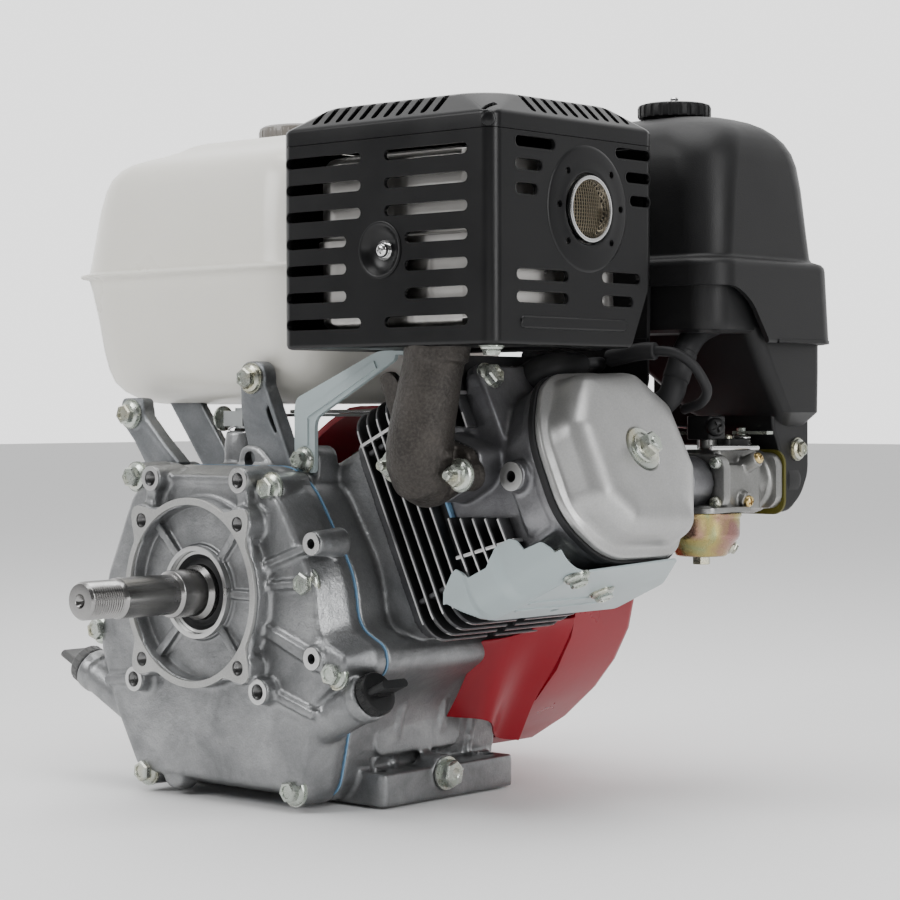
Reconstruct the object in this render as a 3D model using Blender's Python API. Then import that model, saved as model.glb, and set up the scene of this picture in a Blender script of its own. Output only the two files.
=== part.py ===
"""Small single-cylinder gasoline engine with a horizontal output shaft.

Every outline is drawn in millimetres and turned into metres when a solid is made.  Positions
are given by x (towards the cylinder head), d (depth behind the output-side flange face) and
z (height above the mounting base).  The cylinder leans, so pieces on it are drawn along s
(distance from the crank axis), v (across the cylinder, upper side positive) and d.
"""
from math import cos, pi, radians, sin

import bmesh
import bpy
from mathutils import Matrix, Vector

MM = 0.001
GAP = 0.3                     # clearance left between neighbouring pieces

# Driving dimensions
CRANK_HEIGHT = 133.0          # crank axis above the mounting base
FOOT_DEPTH = 122.5            # centre of the mounting holes behind the flange face
FOOT_SPAN_X = 195.0           # between mounting holes, across the engine
FOOT_SPAN_D = 103.0           # between mounting holes, along the crankshaft
BORE = 88.0
STROKE = 64.0
LEAN = radians(25.0)          # cylinder above the horizontal
CYLINDER_D = 121.0            # depth of the cylinder's centre plane
DECK = 168.0                  # crank axis to the cylinder's top face
HEAD_TOP = 247.0              # crank axis to the rocker cover joint
SHAFT_LENGTH = 88.0
SHAFT_R = 12.7

# Depths along the crankshaft
COVER_BACK = 44.7
CASE_FRONT = 46.0
CASE_BACK = 190.0
WALL = 7.0

# Across-cylinder positions of the valve gear
PUSHROD_V = -70.0
VALVE_V = 4.0
PIVOT_V = -30.0
VALVE_SPREAD = 19.0           # valve stems and pushrods either side of the centre plane
CAM_S = 15.0                  # camshaft axis along the cylinder
CAM_BASE_R = 11.0
CAM_LIFT = 5.5
PLUG_V = 45.0
CHAMBER = 12.0                # depth of the combustion chamber in the head

# Timing gears
CRANK_TEETH = 16
CAM_TEETH = 32
GEAR_FRONT = 66.0
GEAR_BACK = 76.0

# Crankshaft and piston
PIN_R = 18.0
CRANK_WEB_R = 52.0
JOURNAL_R = 17.5
RUNNING_FIT = 0.3             # clearance round a turning journal
PISTON_TALL = 46.0
COMPRESSION_HEIGHT = 33.0


# ---------------------------------------------------------------- placing

def front(x, z, d):
    """Drawn facing the output shaft, raised along the crankshaft."""
    return Vector((x, d - FOOT_DEPTH, z))


def top(x, d, z):
    """Drawn from above, raised upwards."""
    return Vector((x, d - FOOT_DEPTH, z))


def side(d, z, x):
    """Drawn facing the cylinder head, raised outwards."""
    return Vector((x, d - FOOT_DEPTH, z))


def bore(d, v, s):
    """Drawn looking along the cylinder, raised from the crank axis."""
    x = s * cos(LEAN) - v * sin(LEAN)
    z = CRANK_HEIGHT + s * sin(LEAN) + v * cos(LEAN)
    return Vector((x, d - FOOT_DEPTH, z))


def bore_x(v, s):
    return bore(0.0, v, s).x


def bore_z(v, s):
    return bore(0.0, v, s).z


# ---------------------------------------------------------------- outlines

def circle(radius, steps, u=0.0, v=0.0, start=0.0):
    """Points around a circle."""
    turn = 2.0 * pi / steps
    return [
        (u + radius * cos(start + turn * i), v + radius * sin(start + turn * i))
        for i in range(steps)
    ]


def rounded(points, radius, steps=2):
    """A polygon with every corner turned into a small arc of straight pieces."""
    outline = []
    count = len(points)
    for i in range(count):
        here = Vector(points[i])
        before = (Vector(points[i - 1]) - here)
        after = (Vector(points[(i + 1) % count]) - here)
        reach = min(radius, 0.45 * before.length, 0.45 * after.length)
        first = here + before.normalized() * reach
        last = here + after.normalized() * reach
        for k in range(steps + 1):
            t = k / steps
            point = first * (1 - t) ** 2 + here * 2 * t * (1 - t) + last * t ** 2
            outline.append((point.x, point.y))
    return outline


def box_outline(u0, u1, v0, v1):
    return [(u0, v0), (u1, v0), (u1, v1), (u0, v1)]


def rounded_box(u0, u1, v0, v1, radius, steps=3):
    """A rectangle with arcs of the given radius at its corners."""
    outline = []
    corners = [(u1 - radius, v1 - radius), (u0 + radius, v1 - radius),
               (u0 + radius, v0 + radius), (u1 - radius, v0 + radius)]
    for quarter, (cu, cv) in enumerate(corners):
        for k in range(steps + 1):
            angle = pi / 2.0 * (quarter + k / steps)
            outline.append((cu + radius * cos(angle), cv + radius * sin(angle)))
    return outline


def inset(outline, amount):
    """The outline moved inwards by the amount, corner by corner."""
    count = len(outline)
    area = sum(
        outline[i - 1][0] * outline[i][1] - outline[i][0] * outline[i - 1][1]
        for i in range(count)
    )
    turn = 1.0 if area > 0 else -1.0
    moved = []
    for i in range(count):
        here = Vector(outline[i])
        before = (here - Vector(outline[i - 1])).normalized()
        after = (Vector(outline[(i + 1) % count]) - here).normalized()
        normal = Vector((-before.y - after.y, before.x + after.x)) * turn
        normal.normalize()
        edge = Vector((-before.y, before.x)) * turn
        stretch = max(0.5, normal.dot(edge))
        point = here + normal * (amount / stretch)
        moved.append((point.x, point.y))
    return moved


def offset_rounded(points, amount, radius, steps=2):
    """The polygon moved inwards by the amount, then rounded."""
    return rounded(inset(points, amount), max(radius - amount, 3.0), steps)


def slot_outline(u, v, length, width):
    """A slot with chamfered ends, centred on (u, v) and running along u."""
    half = length / 2.0
    tall = width / 2.0
    cut = 0.5 * width
    return [(u - half, v), (u - half + cut, v - tall), (u + half - cut, v - tall),
            (u + half, v), (u + half - cut, v + tall), (u - half + cut, v + tall)]


def gear_outline(teeth, module, steps_in=0.5):
    """Trapezoidal teeth; steps_in turns the gear by that many teeth."""
    pitch_r = teeth * module / 2.0
    tip_r = pitch_r + 0.72 * module
    root_r = pitch_r - 0.95 * module
    pitch = 2.0 * pi / teeth
    outline = []
    for i in range(teeth):
        middle = pitch * (i + steps_in)
        for radius, share in ((root_r, -0.29), (tip_r, -0.12), (tip_r, 0.12), (root_r, 0.29)):
            angle = middle + share * pitch
            outline.append((radius * cos(angle), radius * sin(angle)))
    return outline


# ---------------------------------------------------------------- shapes

def prism(outline, low, high, place):
    """The outline raised from low to high."""
    return loft([(outline, low), (outline, high)], place)


def loft(sections, place):
    """A closed body through outlines with equally many points, each at its own height."""
    shape = bmesh.new()
    rings = []
    for outline, height in sections:
        rings.append([shape.verts.new(place(u, v, height) * MM) for u, v in outline])
    count = len(rings[0])
    for lower, upper in zip(rings, rings[1:]):
        for i in range(count):
            k = (i + 1) % count
            shape.faces.new((lower[i], lower[k], upper[k], upper[i]))
    shape.faces.new(rings[0])
    shape.faces.new(list(reversed(rings[-1])))
    bmesh.ops.recalc_face_normals(shape, faces=shape.faces)
    return shape


def turned(profile, place, u=0.0, v=0.0, steps=24):
    """A solid turned about the raised direction; the profile is (radius, height)."""
    return loft([(circle(radius, steps, u, v), height) for radius, height in profile], place)


def ring(inner, outer, low, high, place, u=0.0, v=0.0, steps=24):
    """A plain tube."""
    shape = bmesh.new()
    corners = [(inner, low), (outer, low), (outer, high), (inner, high)]
    loops = []
    for radius, height in corners:
        points = circle(radius, steps, u, v)
        loops.append([shape.verts.new(place(a, b, height) * MM) for a, b in points])
    for j in range(4):
        first = loops[j]
        second = loops[(j + 1) % 4]
        for i in range(steps):
            k = (i + 1) % steps
            shape.faces.new((first[i], first[k], second[k], second[i]))
    bmesh.ops.recalc_face_normals(shape, faces=shape.faces)
    return shape


def tube_along(points, radii, steps=10, wall=0.0):
    """A round bar (or a tube, where wall is given) through points in x, d, z."""
    path = [top(*point) * MM for point in points]
    shape = bmesh.new()
    outer = sweep_rings(shape, path, [radius * MM for radius in radii], steps)
    bridge(shape, outer)
    if wall:
        inner = sweep_rings(shape, path, [(radius - wall) * MM for radius in radii], steps)
        bridge(shape, inner)
        for end in (0, -1):
            bridge(shape, [outer[end], inner[end]])
    else:
        shape.faces.new(outer[0])
        shape.faces.new(outer[-1])
    bmesh.ops.recalc_face_normals(shape, faces=shape.faces)
    return shape


def sweep_rings(shape, path, radii, steps):
    """Rings of vertices square to the path, kept from twisting."""
    rings = []
    across = None
    for i, point in enumerate(path):
        along = (path[min(i + 1, len(path) - 1)] - path[max(i - 1, 0)]).normalized()
        if across is None:
            guide = Vector((0, 0, 1)) if abs(along.z) < 0.9 else Vector((0, 1, 0))
            across = along.cross(guide)
        across = (across - along * across.dot(along)).normalized()
        other = along.cross(across)
        rings.append([
            shape.verts.new(point + (across * a + other * b))
            for a, b in circle(radii[i], steps)
        ])
    return rings


def bridge(shape, rings):
    """Faces between each ring of vertices and the next."""
    for first, second in zip(rings, rings[1:]):
        count = len(first)
        for i in range(count):
            k = (i + 1) % count
            shape.faces.new((first[i], first[k], second[k], second[i]))


def together(*shapes):
    """Shapes that don't touch, held in one operand."""
    whole = bmesh.new()
    for shape in shapes:
        copy = bpy.data.meshes.new("copy")
        shape.to_mesh(copy)
        whole.from_mesh(copy)
        bpy.data.meshes.remove(copy)
        shape.free()
    return whole


# ---------------------------------------------------------------- objects

def material(name, colour, roughness, metallic=0.0):
    made = bpy.data.materials.new(name)
    made.use_nodes = True
    shader = made.node_tree.nodes["Principled BSDF"]
    shader.inputs["Base Color"].default_value = (*colour, 1.0)
    shader.inputs["Roughness"].default_value = roughness
    shader.inputs["Metallic"].default_value = metallic
    made.diffuse_color = (*colour, 1.0)
    return made


def as_object(name, shape):
    mesh = bpy.data.meshes.new(name)
    shape.to_mesh(mesh)
    shape.free()
    thing = bpy.data.objects.new(name, mesh)
    bpy.context.scene.collection.objects.link(thing)
    return thing


def apply_boolean(thing, shape, operation):
    """Join the shape to the object, or cut it out, and keep the result as plain mesh."""
    tool = as_object("tool", shape)
    step = thing.modifiers.new("step", "BOOLEAN")
    step.operation = operation
    step.solver = "EXACT"
    step.object = tool
    graph = bpy.context.evaluated_depsgraph_get()
    result = bpy.data.meshes.new_from_object(thing.evaluated_get(graph))
    thing.modifiers.remove(step)
    old = thing.data
    thing.data = result
    bpy.data.meshes.remove(old)
    bpy.data.objects.remove(tool)


def piece(name, look, shape, add=(), cut=(), then_add=(), then_cut=(), pivot=None):
    """One named sub-part: the shape with its additions joined and its cuts taken out.

    look is (colour, roughness, metallic); pivot, in metres, becomes the object's origin.
    """
    thing = as_object(name, shape)
    for operation, operands in (("UNION", add), ("DIFFERENCE", cut),
                                ("UNION", then_add), ("DIFFERENCE", then_cut)):
        for operand in operands:
            apply_boolean(thing, operand, operation)
    mesh = thing.data
    mesh.name = name
    mesh.materials.clear()
    mesh.materials.append(material(name, *look))
    tidy = bmesh.new()
    tidy.from_mesh(mesh)
    bmesh.ops.remove_doubles(tidy, verts=tidy.verts, dist=0.002 * MM)
    bmesh.ops.dissolve_degenerate(tidy, edges=tidy.edges, dist=0.002 * MM)
    bmesh.ops.dissolve_limit(tidy, angle_limit=radians(0.2), verts=tidy.verts, edges=tidy.edges)
    tidy.to_mesh(mesh)
    tidy.free()
    mesh.shade_smooth()
    mesh.set_sharp_from_angle(angle=radians(32))
    if pivot is not None:
        mesh.transform(Matrix.Translation(-pivot))
        thing.location = pivot
    return thing


CAST = ((0.42, 0.43, 0.44), 0.45, 0.9)
DARK_CAST = ((0.22, 0.22, 0.23), 0.5, 0.9)
STEEL = ((0.62, 0.62, 0.62), 0.3, 1.0)
SATIN_SILVER = ((0.62, 0.62, 0.61), 0.35, 0.9)
IRON = ((0.10, 0.09, 0.085), 0.75, 0.6)
BLACK_PAINT = ((0.015, 0.015, 0.016), 0.4, 0.0)
BLACK_PLASTIC = ((0.02, 0.02, 0.021), 0.45, 0.0)
RUBBER = ((0.02, 0.02, 0.02), 0.7, 0.0)
CREAM = ((0.80, 0.78, 0.70), 0.35, 0.0)
RED = ((0.55, 0.01, 0.02), 0.3, 0.0)
PLATE_GREY = ((0.50, 0.56, 0.57), 0.4, 0.3)
ZINC = ((0.66, 0.62, 0.42), 0.3, 1.0)
BRASS = ((0.75, 0.55, 0.25), 0.3, 1.0)


# ---------------------------------------------------------------- crankcase

CASE_OUTLINE = [
    (-70, 6), (-94, 48), (-111, 92), (-103, 142), (-76, 199), (-50, 213), (50, 213),
    (70, 199), (103, 146), (107, 114), (129, 104), (131, 90), (101, 64), (88, 6),
]
COVER_BOLTS = [(-76, 200), (44, 201), (88, 142), (112, 88), (76, 13), (-60, 13), (-106, 103)]
BOLT_BOSS_R = 9.0
INNER_HOLES = [(44.7, 44.7), (-44.7, 44.7), (-44.7, -44.7), (44.7, -44.7)]
OUTER_BOSSES = [(40.8, 204.7), (-40.8, 204.7), (-57.8, 74.1), (57.8, 74.1)]


def foot_centres():
    return [
        (sx * FOOT_SPAN_X / 2.0, FOOT_DEPTH + sd * FOOT_SPAN_D / 2.0)
        for sx in (-1, 1) for sd in (-1, 1)
    ]


def case_bosses(low, high, radius=BOLT_BOSS_R):
    return [turned([(radius, low), (radius, high)], front, x, z, 8) for x, z in COVER_BOLTS]


def fin_outline(grow=0.0):
    """Cooling fin around the cylinder, with room for the pushrod tunnel below."""
    return rounded_box(60 - grow, 183 + grow, -88 - grow, 66 + grow, 16, 1)


def case_outline(amount=0.0):
    return offset_rounded(CASE_OUTLINE, amount, 12, 1)


def crankcase():
    shell = prism(case_outline(), CASE_FRONT, CASE_BACK, front)
    barrel = prism(rounded_box(68, 174, -82, 53, 12, 1), 72, DECK, bore)
    fins = [
        prism(fin_outline(), s, s + 2.6, bore)
        for s in (124.0 + 9.0 * i for i in range(5))
    ]
    base = prism(box_outline(-114, 114, 59, 186), 0, 12, top)
    feet = together(*[
        prism(box_outline(min(a, b), max(a, b), 59, 186), 0, 22, top)
        for a, b in ((80, 114), (-80, -114))
    ])
    arms = [tank_arm(12, 46, 3, 10, 269), tank_arm(-92, -60, -120, -102, 250)]
    governor_boss = turned([(13, 205), (13, 236)], top, *GOVERNOR, 14)
    eye = prism(rounded([(-6, 205), (-2, 226), (12, 226), (34, 205)], 6), 48, 56, front)
    bolt_x, bolt_z = BRACKET_BOLT
    bracket_boss = prism(rounded_box(bolt_x - 9, bolt_x + 9, 190, bolt_z + 9, 8, 2),
                         BRACKET_D + 3 + GAP, 70, front)
    cavity = prism(case_outline(WALL), CASE_FRONT - 5, CASE_BACK - 9, front)
    sleeve = turned([(BORE / 2 + 5, 60), (BORE / 2 + 5, 110)], bore, CYLINDER_D, 0, 24)
    bore_hole = turned([(BORE / 2, 50), (BORE / 2, DECK + 5)], bore, CYLINDER_D, 0, 28)
    tunnels = [
        turned([(9, 30), (9, DECK + 5)], bore, CYLINDER_D + sign * VALVE_SPREAD, PUSHROD_V, 8)
        for sign in (-1, 1)
    ]
    bearing_boss = turned([(44, 172), (44, CASE_BACK)], front, 0, CRANK_HEIGHT, 20)
    cam_boss = turned([(12, 172), (12, CASE_BACK)], front, *cam_axis(), 12)
    foot_holes = together(*[
        turned([(5.5, -5), (5.5, 30)], top, x, d, 10) for x, d in foot_centres()
    ])
    drain = turned([(6.2, 95), (6.2, 125)], side, 116, 17, 12)
    return piece(
        "crankcase", CAST, shell,
        add=[barrel, *fins, base, feet, *arms, governor_boss, eye, bracket_boss,
             *case_bosses(CASE_FRONT, CASE_FRONT + 24)],
        cut=[cavity],
        then_add=[sleeve, bearing_boss, cam_boss],
        then_cut=[
            bore_hole, *tunnels, foot_holes, drain,
            turned([(36.3, 173), (36.3, 185)], front, 0, CRANK_HEIGHT, 20),
            turned([(20, 160), (20, 200)], front, 0, CRANK_HEIGHT, 20),
            turned([(6.4, 160), (6.4, 184)], front, *cam_axis(), 12),
            turned([(6.5, 190), (6.5, 240)], top, *GOVERNOR, 12),
            turned([(5, 40), (5, 60)], front, 6, 217, 10),
            turned([(4, 40), (4, 80)], front, 6.5, 269, 8),
            turned([(4, 40), (4, 80)], front, -111, 246, 8),
        ],
    )


def tank_arm(foot_left, foot_right, tip_left, tip_right, tip_height):
    """Cast arm from the crankcase top up to a fuel tank bolt."""
    centre = (tip_left + tip_right) / 2.0
    outline = [(foot_left, 200), (foot_right, 200), (foot_right - 4, 214), (centre + 12, 246),
               (centre + 12, tip_height + 12), (centre - 12, tip_height + 12),
               (centre - 12, 246), (foot_left - 6, 214)]
    return prism(rounded(outline, 5), 50, 62, front)


def cam_axis():
    """Camshaft centre in x and z."""
    return bore_x(PUSHROD_V, CAM_S), bore_z(PUSHROD_V, CAM_S)


def crankcase_cover():
    shell = loft([(case_outline(9), 14), (case_outline(6), 17), (case_outline(1), 33),
                  (case_outline(), 36), (case_outline(), COVER_BACK)], front)
    pilot = turned([(60, 0), (60, 30)], front, 0, CRANK_HEIGHT, 32)
    ears = [
        turned([(11, 0), (11, 30)], front, x, CRANK_HEIGHT + z, 8) for x, z in INNER_HOLES
    ]
    bosses = [turned([(8.5, 4.6), (8.5, 30)], front, x, z, 8) for x, z in OUTER_BOSSES]
    necks = [filler_neck(1), filler_neck(-1)]
    cavity = prism(case_outline(WALL), 24, COVER_BACK + 5, front)
    recess = ring(29.5, 55.5, -5, 12, front, 0, CRANK_HEIGHT, 32)
    seal_bore = turned([(26.2, 5), (26.2, 20)], front, 0, CRANK_HEIGHT, 20)
    front_boss = turned([(29.6, -5), (29.6, 9.3)], front, 0, CRANK_HEIGHT, 32)
    bearing_boss = turned([(42, 22), (42, 40)], front, 0, CRANK_HEIGHT, 20)
    cam_boss = turned([(12, 22), (12, 40)], front, *cam_axis(), 12)
    ribs = [rib(angle) for angle in range(0, 360, 60)]
    return piece(
        "crankcase_cover", CAST, shell,
        add=[pilot, *ears, *bosses, *necks, *case_bosses(20, COVER_BACK)],
        cut=[cavity, recess, front_boss],
        then_add=[bearing_boss, cam_boss, *ribs],
        then_cut=[
            seal_bore,
            turned([(22, 10), (22, 30)], front, 0, CRANK_HEIGHT, 20),
            turned([(36.3, 22.5), (36.3, 60)], front, 0, CRANK_HEIGHT, 20),
            turned([(6.4, 28), (6.4, 60)], front, *cam_axis(), 12),
            together(*[
                turned([(4.6, -5), (4.6, 12)], front, x, CRANK_HEIGHT + z, 8)
                for x, z in INNER_HOLES
            ], *[
                turned([(4.9, -5), (4.9, 18)], front, x, z, 8) for x, z in OUTER_BOSSES
            ]),
            neck_bore(1), neck_bore(-1), cap_clearance(1),
        ],
    )


def rib(angle):
    """Radial rib across the recess, from the seal boss to the pilot ring."""
    turn = radians(angle)
    points = [(27, -2.5), (57, -2.5), (57, 2.5), (27, 2.5)]
    outline = [
        (a * cos(turn) - b * sin(turn), CRANK_HEIGHT + a * sin(turn) + b * cos(turn))
        for a, b in points
    ]
    return prism(outline, 4, 13, front)


NECK_D = 31.0
NECK_ROOT = (88.0, 55.0)      # where a filler neck leaves the cover, in x and z
NECK_LENGTH = 46.0


def neck_point(hand, along):
    """A point on the filler neck's axis, in x, d, z; hand is 1 for the head side."""
    x = NECK_ROOT[0] + along * cos(LEAN)
    z = NECK_ROOT[1] + along * sin(LEAN)
    return hand * x, NECK_D, z


def filler_neck(hand):
    points = [neck_point(hand, along) for along in (-8, NECK_LENGTH)]
    return tube_along(points, [13, 13], 14)


def neck_bore(hand):
    points = [neck_point(hand, along) for along in (-12, NECK_LENGTH + 5)]
    return tube_along(points, [9, 9], 12)


def cap_clearance(hand):
    """Spot face that keeps the cover clear of the filler cap."""
    points = [neck_point(hand, along) for along in (NECK_LENGTH + 0.2, NECK_LENGTH + 14)]
    return tube_along(points, [15, 15], 14)


def oil_filler_cap(name, hand):
    """Screw-in filler cap with a grip; the left one carries the dipstick."""
    stem = tube_along([neck_point(hand, a) for a in (NECK_LENGTH - 22, NECK_LENGTH + 2)],
                      [8.5, 8.5], 12)
    head = tube_along([neck_point(hand, a) for a in (NECK_LENGTH + 0.5, NECK_LENGTH + 8)],
                      [14, 13], 14)
    x, d, z = neck_point(hand, NECK_LENGTH + 6)
    out = neck_point(hand, NECK_LENGTH + 24)
    across = 3.0
    grip = bmesh.new()
    bmesh.ops.create_cube(grip, size=1.0)
    size = Matrix.Diagonal((18 * MM, 22 * MM, 2 * across * MM, 1.0))
    tilt = Matrix.Rotation(-hand * LEAN, 4, "Y")
    middle = (top(x, d, z) + top(*out)) / 2.0 * MM
    bmesh.ops.transform(grip, matrix=Matrix.Translation(middle) @ tilt @ size,
                        verts=grip.verts)
    extras = [head, grip]
    if hand < 0:
        dipstick = tube_along([neck_point(hand, a) for a in (-6, NECK_LENGTH - 20)],
                              [2.5, 2.5], 8)
        extras.append(dipstick)
    return piece(name, BLACK_PLASTIC, stem, add=extras)


def crankcase_gasket():
    low = COVER_BACK + 0.2
    high = CASE_FRONT - 0.2
    return piece(
        "crankcase_gasket", ((0.30, 0.45, 0.62), 0.7, 0.0), prism(case_outline(), low, high, front),
        add=case_bosses(low, high),
        cut=[prism(case_outline(WALL), low - 1, high + 1, front)],
    )


def drain_bolt():
    washer = turned([(11, 114.3), (11, 116.3)], side, 116, 17, 16)
    head = prism(circle(8.5, 6, 116, 17, pi / 6), 116, 123, side)
    shank = turned([(6, 100), (6, 115)], side, 116, 17, 12)
    return piece("drain_bolt", ZINC, washer, add=[head, shank])


# ---------------------------------------------------------------- cylinder head

ROCKER_OUTLINE = [(90, 32), (152, 34), (182, 6), (184, -44), (158, -90), (88, -88),
                  (62, -60), (64, -6)]


def rocker_outline(amount=0.0):
    return offset_rounded(ROCKER_OUTLINE, amount, 18, 2)


def cylinder_head():
    body = prism(rounded_box(68, 176, -84, 52, 12, 1), DECK + 1.2, 226, bore)
    box = prism(rocker_outline(), 219, HEAD_TOP, bore)
    fins = [
        prism(fin_outline(-2), s, s + 2.6, bore) for s in (172.0 + 9.0 * i for i in range(5))
    ]
    exhaust_boss = prism(rounded_box(170, 220, -26, 24, 8, 1), 46, 80, bore_side)
    hollow = prism(rocker_outline(6), 231, HEAD_TOP + 5, bore)
    chamber = turned([(42, DECK - 5), (42, DECK + CHAMBER)], bore, CYLINDER_D, 0, 20)
    exhaust_port = turned([(13, 40), (13, 103)], bore_side, *port_centre(), 12)
    valve_throats = [
        turned([(15, DECK + 8), (15, 200)], bore, CYLINDER_D + sign * VALVE_SPREAD, VALVE_V, 12)
        for sign in (-1, 1)
    ]
    guides = [
        turned([(3.6, 190), (3.6, 240)], bore, CYLINDER_D + sign * VALVE_SPREAD, VALVE_V, 8)
        for sign in (-1, 1)
    ]
    tunnels = [
        turned([(9, 160), (9, 240)], bore, CYLINDER_D + sign * VALVE_SPREAD, PUSHROD_V, 8)
        for sign in (-1, 1)
    ]
    plug_hole = turned([(7.2, DECK + 6), (7.2, 190)], bore, CYLINDER_D, PLUG_V, 12)
    plug_well = turned([(11, 184), (11, 260)], bore, CYLINDER_D, PLUG_V, 14)
    return piece(
        "cylinder_head", DARK_CAST, body,
        add=[box, *fins, exhaust_boss, *inlet_duct(17, 160, CARB_D[0] - GAP),
             turned([(13, 170), (13, 205)], bore, CYLINDER_D, PLUG_V, 14)],
        cut=[hollow, chamber, exhaust_port, *inlet_duct(12.5, 144, CARB_D[0] + 5),
             *valve_throats, *guides, *tunnels, plug_hole, plug_well],
    )


def bore_side(s, v, d):
    """Drawn on a plane square to the crankshaft in cylinder directions."""
    return bore(d, v, s)


def port_centre():
    """Exhaust port in s and v."""
    return 191.0, -1.0


def inlet_duct(radius, first, last):
    """The two runs of the head's duct: out of its side, then square to the carburettor."""
    x, z = carb_axis()
    points = [(186, first, 217), (198, 180, 213), (212, 193, 208), (x - 4, 198.3, z + 1)]
    radii = [radius, radius, radius - 2, radius - 3]
    return [tube_along(points, radii, 12),
            turned([(radius, 190), (radius, last)], front, x, z, 12)]


def valve(name, sign):
    """Poppet valve: its head closes the throat, its stem runs out under the rocker."""
    d = CYLINDER_D + sign * VALVE_SPREAD
    seat = DECK + CHAMBER - GAP
    profile = [(16.5, seat - 2), (16.5, seat), (14.0, seat + 0.1), (5.0, 188), (3.2, 193),
               (3.2, 258)]
    return piece(name, STEEL, turned(profile, bore, d, VALVE_V, 12))


def rocker_arm(name, sign):
    """Pressed rocker: pivots on its stud, pushrod below, valve stem above."""
    d = CYLINDER_D + sign * VALVE_SPREAD
    body = prism(rounded([(PUSHROD_V - 6, 257), (PUSHROD_V + 8, 256), (PIVOT_V, 251),
                          (VALVE_V - 4, 259), (VALVE_V + 6, 259), (VALVE_V + 6, 263),
                          (PIVOT_V, 263), (PUSHROD_V - 6, 263)], 2, 1),
                 d - 6, d + 6, rocker_side)
    return piece(name, STEEL, body,
                 cut=[turned([(5.8, 240), (5.8, 275)], bore, d, PIVOT_V, 10)],
                 pivot=bore(d, PIVOT_V, 257) * MM)


def rocker_side(v, s, d):
    return bore(d, v, s)


def rocker_guide_plate():
    """Plate on the head with the two studs and nuts that carry the rocker arms."""
    reach = VALVE_SPREAD + 9
    plate = prism(rounded_box(CYLINDER_D - reach, CYLINDER_D + reach, PIVOT_V - 9, PIVOT_V + 9,
                              4, 1), 231.3, 234.3, bore)
    profile = [(3.8, 233), (3.8, 265), (6, 265), (6, 270)]
    studs = [
        turned(profile, bore, CYLINDER_D + sign * VALVE_SPREAD, PIVOT_V, 12) for sign in (-1, 1)
    ]
    return piece("rocker_guide_plate", STEEL, plate, add=studs,
                 cut=[turned([(4.4, 225), (4.4, 240)], bore, CYLINDER_D, PIVOT_V, 10)])


def pushrod(name, sign):
    """Pushrod with its tappet, from the cam to the rocker."""
    d = CYLINDER_D + sign * VALVE_SPREAD
    low = CAM_S + CAM_BASE_R + CAM_LIFT + 1.0
    profile = [(8, low), (8, low + 4), (5, low + 5), (5, 58), (3, 59), (3, 255.4)]
    return piece(name, STEEL, turned(profile, bore, d, PUSHROD_V, 10))


def rocker_cover_gasket():
    low = HEAD_TOP + 0.2
    high = HEAD_TOP + 3.2
    return piece(
        "rocker_cover_gasket", RUBBER, prism(rocker_outline(-1.5), low, high, bore),
        cut=[prism(rocker_outline(6), low - 1, high + 1, bore)],
    )


COVER_LOW = HEAD_TOP + 3.4
COVER_TOP = 283.0


def cover_sections(shrink, base, crown):
    """Flange, wall and rounded dome of the rocker cover."""
    levels = [(0, base), (0, COVER_LOW + 5), (4, COVER_LOW + 6), (6, crown - 14),
              (9, crown - 6), (15, crown - 1.5), (22, crown)]
    return [(rocker_outline(shrink + step), height) for step, height in levels]


def rocker_cover():
    outer = loft(cover_sections(0, COVER_LOW, COVER_TOP), bore)
    inner = loft(cover_sections(2.2, COVER_LOW - 5, COVER_TOP - 2.2), bore)
    bolt_hole = turned([(4.4, 250), (4.4, 300)], bore, CYLINDER_D, PIVOT_V, 12)
    return piece("rocker_cover", SATIN_SILVER, outer, cut=[inner, bolt_hole])


def rocker_cover_bolt():
    washer = turned([(13, COVER_TOP + 0.2), (13, COVER_TOP + 2.4)], bore, CYLINDER_D, PIVOT_V)
    head = prism(circle(7.4, 6, CYLINDER_D, PIVOT_V), COVER_TOP + 2, COVER_TOP + 9, bore)
    shank = turned([(4, 232), (4, COVER_TOP + 1)], bore, CYLINDER_D, PIVOT_V, 12)
    return piece("rocker_cover_bolt", STEEL, washer, add=[head, shank])


# ---------------------------------------------------------------- exhaust

SHIELD_X = (80.0, 250.0)
SHIELD_D = (4.0, 158.0)
SHIELD_Z = (285.0, 408.0)
SHIELD_SHEET = 1.5
OUTLET = (91.0, 366.5)        # muffler outlet in d and z
SLOT_TOP_Z = 397.5
SLOT_PITCH = 16.3
SLOT_WIDTH = 6.6
LID_SLOT = 4.5
LID_PITCH = 9.8
BRACKET_D = 48.5
BRACKET_BOLT = (56.0, 217.0)


def exhaust_manifold():
    """Flange on the head and a bend up into the muffler."""
    s, v = port_centre()
    x = bore_x(v, s)
    z = bore_z(v, s)
    points = [(x, 40, z - 4), (x + 1, 30, z - 3), (x + 3, 23, z + 6), (x + 7, 22, z + 24),
              (x + 12, 23, z + 50), (x + 17, 25, 289)]
    radii = [17, 19, 20, 19, 18, 17]
    bend = tube_along(points, radii, 14, wall=4.0)
    flange_outline = rounded([(s - 34, v + 4), (s - 20, v + 20), (s + 8, v + 20),
                              (s + 34, v - 4), (s + 20, v - 20), (s - 8, v - 20)], 6)
    flange = prism(flange_outline, 35, 45.7, bore_side)
    port = turned([(13, 30), (13, 50)], bore_side, s, v, 16)
    return piece("exhaust_manifold", IRON, bend, add=[flange], cut=[port])


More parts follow.
